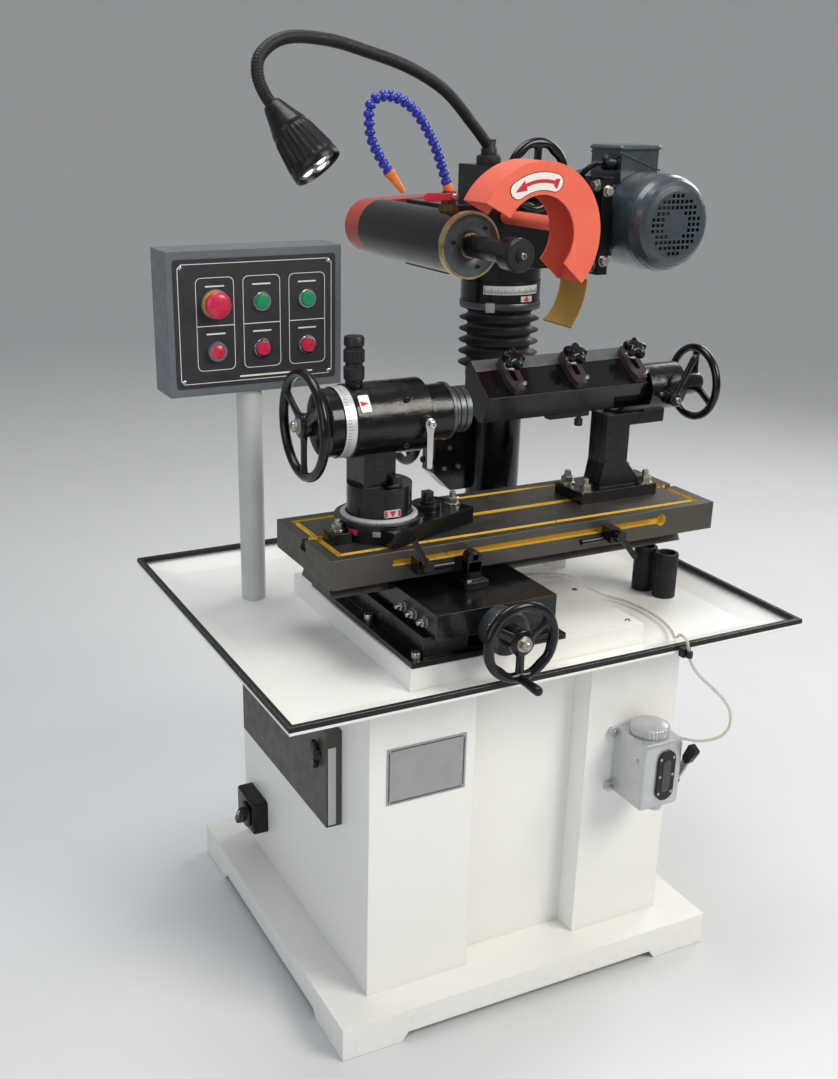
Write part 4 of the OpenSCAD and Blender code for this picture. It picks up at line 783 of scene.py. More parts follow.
def slab(shape: Shape, front: Arr, normal: Any, thick: float, finish: int = 0) -> None:
    """Thin sheet of a given thickness: its front rows and, turned back, its rear rows, closed at both ends.

    Args:
        shape: takes the surface.
        front: points (U, V, 3) of the front face.
        normal: direction of the thickness.
        thick: thickness.
        finish: number of the finish.
    """
    back = front - thick * unit(normal)
    shape.sheet(np.concatenate([front, back[:, ::-1]], 1), finish, loop_v=True, caps=True)


@dataclass
class Stage:
    """Pale floor, soft lights and the camera of the photo."""

    eye: Point = (-0.9672, -1.6610, 1.3561)
    ahead: Point = (0.4046, 0.8417, -0.357)
    roll: float = 0.008
    focal_px: float = 1247.18
    centre_px: Point = (359.8, 573.2)
    image_px: Point = (838, 1079)
    sensor_mm: float = 36.0
    aim: Point = (0, 0, 0.75)
    sky: float = 0.46
    floor_r: float = 6000.0
    sweep_r: float = 3000.0
    wall_top: float = 7000.0
    lights: tuple[tuple[Any, ...], ...] = (
        ("key_light", (1.7, -2.6, 3.0), 1.8, 100, "FFF8EE"), ("fill_light", (-2.9, -1.9, 1.9), 2.2, 26, "EEF4FF"),
        ("top_light", (-0.3, 0.4, 3.4), 1.6, 44, "FFFFFF"), ("back_light", (2.9, 1.3, 2.3), 1.6, 34, "FFFFFF"))

    def camera(self) -> None:
        """Sets the camera from its eye, heading, roll, focal length and image centre."""
        f = unit(self.ahead)
        right = unit(np.cross(f, Z))
        up = np.cross(right, f)
        c, s = math.cos(self.roll), math.sin(self.roll)
        right, up = c * right + s * up, c * up - s * right
        data = bpy.data.cameras.new("photo_camera")
        data.sensor_width = self.sensor_mm
        data.lens = self.focal_px * self.sensor_mm / self.image_px[1]
        data.shift_x = (self.image_px[0] / 2 - self.centre_px[0]) / self.image_px[1]
        data.shift_y = (self.centre_px[1] - self.image_px[1] / 2) / self.image_px[1]
        made = bpy.data.objects.new("photo_camera", data)
        bpy.context.scene.collection.objects.link(made)
        made.matrix_world = Matrix(
            np.vstack([np.column_stack([right, up, -f, np.asarray(self.eye)]), [0, 0, 0, 1]]).tolist())
        bpy.context.scene.camera = made

    def lamp(self, name: str, place: Point, size: float, watts: float, colour: str) -> None:
        """One square soft light that faces the machine."""
        data = bpy.data.lights.new(name, "AREA")
        data.energy, data.size, data.color = watts, size, linear(colour)[:3]
        made = bpy.data.objects.new(name, data)
        bpy.context.scene.collection.objects.link(made)
        made.location = place
        made.rotation_euler = (Vector(self.aim) - Vector(place)).to_track_quat("-Z", "Y").to_euler()

    def floor(self) -> None:
        """Round floor whose border curves up into a pale backdrop."""
        a = np.linspace(0, math.pi / 2, 12)
        shape = Shape()
        far = self.floor_r + self.sweep_r
        r = np.concatenate([[0.001, 3000, 5000], self.floor_r + self.sweep_r * np.sin(a), [far]])
        h = np.concatenate([[0, 0, 0], self.sweep_r - self.sweep_r * np.cos(a), [self.wall_top]])
        t = circle(96)
        grid = np.stack([r[:, None] * np.cos(t), r[:, None] * np.sin(t), np.repeat(h[:, None], 96, 1)], -1)
        shape.sheet(grid, loop_v=True)
        mesh = bpy.data.meshes.new("studio_floor")
        mesh.from_pydata((np.concatenate(shape.points) / MM - [0, 0, 0.0005]).tolist(), [], shape.faces)
        mesh.shade_smooth()
        paper = bpy.data.materials.new("pale_studio_paper")
        paper.use_nodes = True
        tree = paper.node_tree
        tree.nodes.clear()
        where = add(tree, "TexCoord", {}).outputs["Object"]
        pale = mixed(tree, noise(tree, where, 3.0, 4.0), linear("DCDEDF"), linear("D6D8DA"))
        skin = add(tree, "BsdfPrincipled", {"Base Color": pale, "Roughness": 0.75})
        add(tree, "OutputMaterial", {"Surface": skin.outputs[0]})
        mesh.materials.append(paper)
        made = bpy.data.objects.new("studio_floor", mesh)
        bpy.context.scene.collection.objects.link(made)

    def build(self) -> None:
        """Makes camera, lights, world and floor."""
        self.camera()
        for light in self.lights:
            self.lamp(*light)
        world = bpy.data.worlds.new("studio_world")
        bpy.context.scene.world = world
        world.use_nodes = True
        tree = world.node_tree
        tree.nodes.clear()
        sky = add(tree, "Background", {"Color": linear("E8EAEC"), "Strength": self.sky})
        add(tree, "OutputWorld", {"Surface": sky.outputs[0]})
        bpy.context.scene.view_settings.view_transform = "Standard"
        self.floor()


@dataclass
class Handwheel:
    """Three-spoke handwheel: a rim that may be waved inside, flat oval spokes, a turned hub and a nut."""

    name: str
    node: str
    body: str
    centre: Point
    axis: Any
    spoke: Any
    radius: float
    rim: float
    hub: Sequence[Point]
    waves: int = 0
    wave: float = 0.0
    nut: float = 10.0
    extra: Any = None
    dial: tuple[Finish, ...] = ()
    spoke_r: float = 6.6
    flare: float = 3.4

    def build(self) -> None:
        """Builds rim, spokes, hub and nut as one piece that stands for the solid."""
        shape, axis = Shape(), unit(self.axis)
        e1 = unit(self.spoke)
        e2 = np.cross(axis, e1)
        centre = np.asarray(self.centre, float)
        a = circle(144)[:, None]
        b = circle(20)[None, :]
        inward = (1 - np.cos(b)) / 2
        r = self.radius - self.rim + self.rim * np.cos(b) - self.wave * (1 + np.cos(self.waves * a)) * inward
        h = self.rim * np.sin(b) + 0 * a
        shape.sheet(centre + r[..., None] * spread(a, e1, e2) + h[..., None] * axis, loop_u=True, loop_v=True)
        hub_r = max(p[1] for p in self.hub)
        t = np.linspace(0, 1, 14)
        for way in spread(circle(3), e1, e2):
            path = centre + ((0.6 * hub_r) * (1 - t) + (self.radius - self.rim) * t)[:, None] * way
            width = self.spoke_r + self.flare * (2 * t - 1) ** 4
            shape.tube(path, width, n=18, ref=axis, flat=0.62)
        shape.lathe(self.hub, centre, axis, n=56)
        top = centre + self.hub[-1][0] * axis
        if self.nut:
            n = self.nut
            shape.lathe(n * np.array([(0, 1.25), (.2, 1.25), (.25, 1.2)]), top, axis, 1, 28)
            shape.prism(ngon(.98 * n, 6, 10), top, *across(axis), .2 * n, .9 * n, 1)
            shape.lathe([(.88 * n, .95 * n), *dome(.9 * n, .55 * n, .8 * n, 88)], top, axis, 1, 28)
        if self.extra:
            self.extra(shape)
        shape.make(self.name, self.body, [BLACK_SMOOTH, ZINC, *self.dial], [self.node], slot="black_paint")


@dataclass
class Base:
    """White cabinet on its plinth, with tray trim, canisters, plate and small screws."""

    tray_x: float = 432.0
    tray_y: tuple[float, float] = (-343.0, 349.0)
    rim_z: float = 600.0

    def trim(self) -> None:
        """Black edge strip on the tray rim: a rounded section carried round the rectangle, mitred at the corners."""
        shape = Shape()
        sec = rounded(9.0, 9.0, 2.2, 4) + [-3.6, -4.1]
        half = np.array([self.tray_x, (self.tray_y[1] - self.tray_y[0]) / 2])
        mid = np.array([0.0, sum(self.tray_y) / 2])
        sign = np.array([[1, 1], [-1, 1], [-1, -1], [1, -1]])[:, None, :]
        flat = mid + sign * (half + sec[None, :, :1])
        z = np.broadcast_to(self.rim_z + sec[None, :, 1:], (*flat.shape[:2], 1))
        shape.sheet(np.concatenate([flat, z], -1), loop_u=True, loop_v=True)
        shape.make("tray_edge_trim", "base", [RUBBER], sharp=50)

    def canisters(self) -> None:
        """Twin stepped canisters joined by a web, standing on the tray floor."""
        shape = Shape()
        can = [
            (0, 18), (1.5, 19), (30, 19), (31, 18.6), (33, 18.6), (34, 19), (74, 19), (76, 18), (76, 14), (70, 13)]
        for x, y in ((320, -92), (331, -133)):
            shape.lathe(can, (x, y, 580), Z, 0, 40)
        shape.block((318, -122, 588), (333, -103, 650))
        shape.make("tray_canisters", "base", [RUBBER], bevel=1.0)

    def plate(self) -> None:
        """Bare rating plate with a raised border and four rivets, on the cabinet front."""
        shape = Shape()
        at = (-180, -255, 434.5)
        shape.prism(rounded(132, 93, 2, 4), at, X, Z, 0, 0.8)
        plate_with_hole(shape, rounded(126, 87, 2, 6), rounded(122, 83, 1.5, 6), at, X, Z, 0.5, 1.2, 1)
        bolt_row(shape, product((-240.5, -119.5), (-255.6,), (393.5, 475.5)), -Y, 2.2, Head.PAN)
        shape.make("rating_plate", "base", [PLATE, GREY_STEEL])

    def screws(self) -> None:
        """Bolts of slide flange, column foot, pedestal and pump on the fixed body."""
        shape = Shape()
        bolt_row(shape, product((-206, 21), (-262, -110, 58), (622,)), Z, 9)
        bolt_row(shape, np.array([157, 145, 635]) + 74 * spread(np.radians([20, 110, 200, 290]), X, Y), Z, 10)
        bolt_row(shape, ((160, -260, 613), (160, -120, 613), (-210, 110, 613), (-30, 120, 613)), Z, 5, Head.PAN)
        shape.make("base_bolts", "base", [ZINC])

    def build(self) -> None:
        """Builds all pieces of the base."""
        self.trim()
        self.canisters()
        self.plate()
        self.screws()


@dataclass
class CrossSlide:
    """Saddle with gib screws and stop, and the cross-feed wheel with its crank handle and dial."""

    wheel: Point = (-92.5, -352.0, 661.0)

    def crank(self, shape: Shape) -> None:
        """Turned crank handle at the wheel's lowest point, and the graduated dial behind the wheel."""
        x, y, z = self.wheel
        shape.lathe(
            [(-7, 6), (4, 6), (8, 6.9), (20, 6.2), (40, 7), (48, 7), (51, 5.6), (52, 3)], (x, y, z - 53), -Y, 2, 32)
        dial = [(27.6, 12), (27.6, 30), (29, 32), (31, 33), (46, 33), (46.6, 32), (61.4, 32), (61.4, 12)]
        shape.lathe(dial, self.wheel, Y, 3, 72)
        scale_marks(shape, self.wheel, Y, 33, 0, 354, 60, 31.5, 9, 4, 5, 0.7)

    def build(self) -> None:
        """Builds the wheel, the gib screws and the stop's bolts."""
        Handwheel(
            "cross_feed_wheel", "cross_wheel", "cross_feed", self.wheel, -Y, -Z, 60, 7,
            [(-40, 17), (-16, 17), (-8, 19), (5, 19), (7, 16)], 9, 1.1, 9, self.crank,
            (PLASTIC, GREY_STEEL, MARK_WHITE)).build()
        shape = Shape()
        bolt_row(shape, product((-190,), (-258, -225, -192), (672,)), -X, 7, Head.HEX, 0, 7)
        bolt_row(shape, product((-190,), (-60, -20), (676,)), -X, 7, Head.HEX, 0, 6)
        bolt_row(shape, ((-104, -227, 705), (-77, -193, 705)), Z, 5)
        shape.make("slide_screws", "cross_slide", [ZINC])
        self.post()

    def post(self) -> None:
        """Fixed stop: a bored block on its foot, with a rounded head and a bore rim."""
        shape = Shape()
        shape.block((-110, -228, 693), (-70, -192, 705), 0, 2)
        shape.prism(rounded(24, 18, 2, 4), (-90, -210, 693), X, Y, 0, 40)
        outline = np.vstack([[[12, -20]], arc(12, 0, 180, 15), [[-12, -20]]])
        shape.prism(outline, (-90, -210, 736.7), X, Z, -9, 9)
        for s in (-1, 1):
            shape.lathe([(0, 7), (1.2, 6.6), (1.2, 4.6), (-1, 4.4)], (-90, -210 + 9 * s, 739), s * Y, 0, 24)
        shape.make("table_stop_post", "cross_slide", [BLACK], ["stop_post"], bevel=1.2, slot="black_paint")


@dataclass
class Workhead:
    """Workhead trim: handwheel, scale rings, plunger, clamp lever and bolts."""

    x: float = -185.0
    y: float = -97.0
    z: float = 927.0

    def rings(self) -> None:
        """White index scale on the spindle and the nose rings."""
        shape = Shape()
        at = (-261, self.y, self.z)
        shape.lathe([(0, 50.2), (0.3, 50.9), (17, 50.9), (17.4, 50.2)], at, X, 0, 96)
        scale_marks(shape, at, X, 50.9, 0, 355, 72, 3, 9, 1, 6, 0.6)
        shape.lathe([(-18.2, 30), (-18.2, 47.6), (-17.4, 48.6), (-0.8, 48.6), (-0.2, 48)], at, X, 2, 72)
        shape.make("index_scale_ring", "work_spindle", [SCALE_WHITE, MARK_BLACK, BLACK_SMOOTH])
        shape = Shape()
        shape.lathe([(0, 41.2), (1, 42.4), (5, 42.4), (6, 41.2)], (-86, self.y, self.z), X, 0, 72)
        shape.make("nose_band", "workhead", [GREY_STEEL])

    def base_scale(self) -> None:
        """Bright swivel scale round the drum's foot, small plates on the base rim and the red pointer plates."""
        shape = Shape()
        at = (self.x, self.y, 780)
        shape.lathe(
            [(-1, 50), (-1, 56.6), (-0.2, 57.2), (6.4, 57.2), (8.4, 54.6), (8.8, 53.4), (8.8, 50)], at, Z, 0, 96,
            loop=True)
        scale_marks(shape, at, Z, 57.2, 180, 360, 61, 0.6, 5, 1, 5, 0.6)
        for turn, wide, finish in ((203, 13, 3), (236, 17, 2)):
            arc_strip(shape, at, Z, 66, turn, turn + wide, -12, -4, 0.9, finish)
        shape.make("swivel_scale", "work_table", [SCALE_STEEL, MARK_BLACK, ZINC, MARK_RED])
        shape = Shape()
        a = math.radians(268)
        side = spread(a, Y, -X)
        place = np.array([self.x, self.y, 796.5]) + 47.2 * spread(a, X, Y)
        shape.prism(rounded(26, 11, 2, 4), place, side, Z, -1.5, 1.6, 0)
        shape.prism(np.array([[-5, 4], [5, 4], [0, -5]]), place, side, Z, 1.4, 2.2, 1)
        for s in (-1, 1):
            shape.prism(rounded(4, 9, 0.6, 2), place + 10.4 * s * side, side, Z, 1.4, 1.9, 1)
        a = math.radians(-38)
        side = spread(a, Z, -Y)
        place = np.array([-230.0, self.y, self.z]) + 52.6 * spread(a, -Y, -Z)
        shape.prism(rounded(16, 26, 2, 4), place, X, side, -1.5, 1.4, 0)
        shape.prism(np.array([[-6, -4], [-6, 4], [6, 0]]), place, X, side, 1.2, 2.0, 1)
        shape.make("pointer_plates", "workhead", [SCALE_WHITE, MARK_RED])

    def plunger(self) -> None:
        """Index plunger: knurled sleeve with a waist and a capped top, on its stem."""
        shape = Shape()
        a = circle(72)
        rows = [
            (-30, 8.05, 0), (0.4, 8.05, 0), (0.5, 13, 0), (1.5, 14.6, 0), (18, 15, 0), (20, 12.6, 0), (24, 12, 0),
            (26, 14.6, .4), (42, 14.6, .4), (44, 12.4, 0), (47, 12.4, 0), (49, 14.4, 0), (59, 14.4, 0),
            (61.5, 12.6, 0), (62, 9, 0)]
        h, r, k = np.array(rows).T
        r = r[:, None] + k[:, None] * np.cos(24 * a)[None]
        grid = np.stack(
            [-227 + r * np.cos(a), self.y + r * np.sin(a), np.broadcast_to(985 + h[:, None], r.shape)], -1)
        shape.sheet(grid, loop_v=True, caps=True)
        shape.make("index_plunger", "index_pin", [DARK_STEEL], ["wh_plunger"], slot="black_plastic")

    def lever(self) -> None:
        """Bright clamp lever hanging from its socket screw, wide at the eye and rounded at the tip."""
        shape = Shape()
        tip = arc(4.5, 180, 360, 12) - [0, 62]
        outline = np.vstack([arc(8, 0, 180, 12), [[-5, -14]], tip, [[5, -14]]])
        shape.prism(outline, (-137, -155.5, self.z), X, Z, 0, 6)
        shape.lathe([(-17, 4.45), (7, 4.45)], (-137, -155.5, self.z), -Y, 0, 24)
        bolt(shape, (-137, -161.5, self.z), -Y, 7, Head.SOCKET)
        shape.make("workhead_clamp_lever", "workhead_clamp", [CHROME], ["wh_lever"], bevel=0.8, slot="bright_steel")

    def bolts(self) -> None:
        """Square-headed bolts on drum and boss, table bolts, clamp block and rating studs."""
        shape = Shape()
        bolt(shape, (-105, -98, 790), Z, 10, Head.SQUARE, 0, 0)
        shape.prism(rounded(15, 15, 1.5, 3), (-105, -98, 790), X, Y, 0, 17)
        bolt(shape, (-58, -92, 780), Z, 10, Head.HEX, 1, 9)
        shape.block((-275, -132, 756), (-243, -92, 772), 0, 3)
        bolt(shape, (-259, -112, 772), Z, 9, Head.HEX, 1, 8)
        shape.make("workhead_bolts", "work_table", [BLACK_SMOOTH, ZINC], bevel=0.6)
        shape = Shape()
        shape.prism(rounded(16, 16, 2, 3), (-176, -131, 832), X, Y, 0, 16)
        shape.prism(rounded(20, 14, 2, 3), (-182, -133, 832), X, Y, 0, 5)
        for x, z in ((-165, 960), (-165, 894)):
            bolt(shape, (x, self.y - math.sqrt(53**2 - (z - self.z)**2), z), -Y, 5, Head.SOCKET, 1)
        shape.make("drum_bolts", "workhead", [BLACK_SMOOTH, DARK_STEEL], bevel=0.8)

    def build(self) -> None:
        """Builds all pieces of the workhead."""
        Handwheel(
            "workhead_handwheel", "wh_wheel", "work_spindle", (-304, self.y, self.z), -X, -Z, 80, 7,
            [(-13, 16), (-6, 17), (2, 18.4), (7, 17), (8, 14)], 0, 0, 9).build()
        self.rings()
        self.base_scale()
        self.plunger()
        self.lever()
        self.bolts()


@dataclass
class BladeBar:
    """Tilting bar with ground strip, three slotted clamps, lobed knobs, handwheel and clamp lever."""

    y: float = -80.0
    z: float = 925.0
    foot: tuple[float, float] = (-30.0, 15.0)
    top: tuple[float, float] = (30.0, 61.0)
    places: tuple[float, ...] = (40.0, 152.0, 264.0)

    def on_slope(self, x: float, up: float, out: float) -> Arr:
        """Point on the sloped face: up the slope from its foot, and out along its normal."""
        d = np.array(self.top) - np.array(self.foot)
        d = d / np.linalg.norm(d)
        p = np.array(self.foot) + up * d + out * np.array([-d[1], d[0]])
        return np.array([x, self.y + p[0], self.z + p[1]])

    def axes(self) -> tuple[Arr, Arr]:
        """Directions up the slope and out of it."""
        up = unit(self.on_slope(0, 1, 0) - self.on_slope(0, 0, 0))
        return up, np.cross(X, up)

    def clamps(self) -> None:
        """Three clamps: a plate with a tapered nose and a long slot, and a bright set screw at the nose."""
        shape = Shape()
        up, out = self.axes()
        outer = np.array(
            [[-13.5, 16], [-8, 0], [8, 0], [13.5, 16], [13.5, 60], [9, 66], [-9, 66], [-13.5, 60]], float) - [0, 34]
        slot = rounded(9, 42, 4.4, 8) + [0, 4]
        for x in self.places:
            at = self.on_slope(x, 3.02 + 34, 0)
            plate_with_hole(shape, outer, slot, at, X, up, 0, 11, 0, 96)
            shape.lathe([(11, 10), (14, 10), (15, 9), (15, 5)], self.on_slope(x, 48.4, 0), out, 1, 28)
            foot = self.on_slope(x, 11, 2)
            tilt = unit(out * 0.9 - up * 0.25 + X * 0.1)
            shape.lathe([(0, 3.6), (22, 3.6), (23.5, 2.6), (23.5, 1.6), (20, 1.5)], foot, tilt, 1, 20)
        shape.make("blade_clamps", "blade_bar", [CLAMP_STEEL, CHROME], ["vb_clamps"], bevel=0.9, slot="clamp_brown")

    def knobs(self) -> None:
        """Lobed clamp knobs: a ring of radius 16.4 + 4 cos 5a, rounded over at both ends, on a bright stem."""
        up, out = self.axes()
        a = circle(96)
        t = np.radians(np.linspace(-90, 90, 17))
        size = np.abs(np.cos(t)) ** 0.55
        high = 27.5 + 9.5 * np.sign(np.sin(t)) * np.abs(np.sin(t)) ** 0.9
        r = size[:, None] * (16.4 + 4.0 * np.cos(5 * a) * np.clip(size[:, None], 0.2, 1))
        for i, x in enumerate(self.places, 1):
            shape = Shape()
            foot = self.on_slope(x, 48.4, 0)
            grid = foot + high[:, None, None] * out + r[..., None] * spread(a, X, up)
            shape.sheet(grid, loop_v=True, caps=True)
            shape.lathe([(-14, 3.9), (12, 3.9), (12, 9.6), (18, 9.6), (19, 8)], foot, out, 1, 28)
            shape.make(
                f"lobed_knob_{i}", f"clamp_knob_{i}", [BLACK_SMOOTH, CHROME], [f"star_knob_{i}"], sharp=60,
                slot="black_plastic")

    def lever(self) -> None:
        """Straight black clamp lever with a round eye, swollen towards its tip."""
        shape = Shape()
        way = spread(math.radians(28), Z, X)
        at = np.array([312, -133.5, 915.0])
        t = np.linspace(0, 1, 16)
        width = 4.4 + 1.6 * t - 3.6 * np.clip(t - 0.92, 0, 1) / 0.08 * 0.7
        shape.tube(at + t[:, None] * 76 * way, width, n=18, ref=Y, flat=0.8)
        shape.lathe([(-8, 9.5), (-6, 10.4), (6, 10.4), (7.6, 9)], at, -Y, 0, 32)
        shape.lathe([(-19, 4.4), (-7, 4.4)], at, -Y, 1, 24)
        bolt(shape, at - 7.6 * Y, -Y, 6, Head.SOCKET, 1)
        shape.make("bar_clamp_lever", "bar_clamp", [BLACK_SMOOTH, ZINC], ["vb_lever"], slot="black_plastic")

    def trim(self) -> None:
        """Ground strip along the top edge, the lug with its screw under the bar, and stand bolts with washers."""
        shape = Shape()
        up, out = self.axes()
        length = np.linalg.norm(np.array(self.top) - np.array(self.foot))
        shape.prism(rounded(288, 22, 0.6, 2), self.on_slope(133, length - 11.5, 0), X, up, -0.5, 0.5, 0)
        shape.block((108, -94, 893), (182, -78, 901), 1, 2)
        shape.lathe([(0, 4), (5, 4), (5, 6.5), (15, 6.5), (16, 5.5)], (167, -87, 893), -Z, 2, 24)
        shape.make("bar_ground_strip", "blade_bar", [GROUND_STRIP, BLACK_SMOOTH, DARK_STEEL], bevel=0.3)
        shape = Shape()
        bolt_row(
            shape, ((176, -106, 774), (292, -56, 774), (176, -56, 774), (292, -106, 774)), Z, 11, Head.HEX, 0, 10)
        bolt(shape, (300, -117.2, 921), -Y, 4, Head.SOCKET, 0)
        shape.make("stand_bolts", "work_table", [ZINC])

    def build(self) -> None:
        """Builds all pieces of the blade bar."""
        Handwheel(
            "bar_handwheel", "vb_wheel", "blade_bar", (394, self.y, self.z), X, Z, 62, 6.4,
            [(-40, 18), (-38, 19.6), (-8, 19.6), (-4, 18), (4, 18), (8, 15)], 0, 0, 0).build()
        self.clamps()
        self.knobs()
        self.lever()
        self.trim()


@dataclass
class Column:
    """Elevating column: handwheel, folded bellows, clamp band and graduated dial."""

    x: float = 157.0
    y: float = 145.0
    low: float = 930.0
    high: float = 1043.0
    dial_r: float = 66.0
    wheel: Point = (-8, 169, 831)
    folds: int = 5
    ridge_r: float = 66.8
    fold_deep: float = 14.0
    collar_r: float = 63.4

    def shaft(self, shape: Shape) -> None:
        """Shaft between handwheel and gear case, with its collar."""
        shape.lathe([(0, 9), (43, 9), (43, 15), (51, 15)], self.wheel, X, 0, 32)

    def bellows(self) -> None:
        """Five folds: the radius drops from each sharp ridge into a round valley by a power of a half sine."""
        shape = Shape()
        t = np.linspace(0, self.folds, self.folds * 18 + 1)
        r = self.ridge_r - self.fold_deep * np.abs(np.sin(math.pi * t)) ** 0.75
        z = self.low + 5 + (self.high - self.low - 18) * t / self.folds
        collar = [(self.high - 12, self.collar_r), (self.high - 0.5, self.collar_r)]
        shape.lathe([(self.low + 0.5, 56), *zip(z, r), *collar], (self.x, self.y, 0), Z, 0, 96)
        made = shape.make("ram_bellows", "", [BELLOWS], ["bellows"], sharp=80, slot="bellows_rubber")
        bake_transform(made)

    def dial(self) -> None:
        """Clamp band under the dial, bright scale strip, and the pointer plate with a red arrow."""
        shape, at = Shape(), (self.x, self.y, 0)
        shape.lathe(
            [(1031, 63), (1031, 66.4), (1032, 67), (1041, 67), (1042, 66.4), (1042, 63)], at, Z, 0, 120, loop=True)
        scale_marks(shape, at, Z, 67, 0, 357, 100, 1034, 5, 0, 1, 2.0)
        arc_strip(shape, at, Z, 67, 220, 232, 1029, 1044, 5, 1)
        shape.make("bellows_clamp_band", "column_ram", [GREY_STEEL, ZINC])
        shape = Shape()
        arc_strip(shape, at, Z, self.dial_r, 214, 300, 1057, 1071, 0.8, 0)
        scale_marks(shape, at, Z, self.dial_r + 1.0, 216, 298, 42, 1058.5, 8, 1, 5, 0.6)
        shape.make("swivel_dial_scale", "wheelhead", [SCALE_WHITE, MARK_BLACK])
        shape = Shape()
        a = math.radians(-82)
        out, side = spread(a, X, Y), spread(a, Y, -X)
        place = np.array([self.x, self.y, 1049.5]) + (self.dial_r + 0.2) * out
        shape.prism(rounded(22, 9, 1, 4), place, side, Z, -2, 0.9, 0)
        shape.prism(np.array([[-4.5, -3.5], [4.5, -3.5], [4.5, -1], [0, 5], [-4.5, -1]]), place, side, Z, 0.7, 1.6, 1)
        for s in (-8, 8):
            bolt(shape, place + 0.8 * out + s * side, out, 1.6, Head.PAN, 2)
        shape.make("dial_pointer", "column_ram", [SCALE_WHITE, MARK_RED, ZINC])

    def build(self) -> None:
        """Builds all pieces of the column."""
        Handwheel(
            "elevating_handwheel", "elev_wheel", "elevating_wheel", self.wheel, -X, Y, 62.5, 7,
            [(-15, 17), (-12, 20), (2, 20), (6, 19), (7, 15)], 9, 1.1, 8, self.shaft).build()
        self.bellows()
        self.dial()
        shape = Shape()
        bolt_row(shape, ((42, y, z) for z, y in product((768, 868), (157, 181))), -X, 7)
        bolt_row(shape, ((61, 148, 758), (88, 148, 759), (71, 148, 793)), -Y, 5, Head.SOCKET, 1)
        shape.make("gear_case_screws", "base", [DARK_STEEL, ZINC])


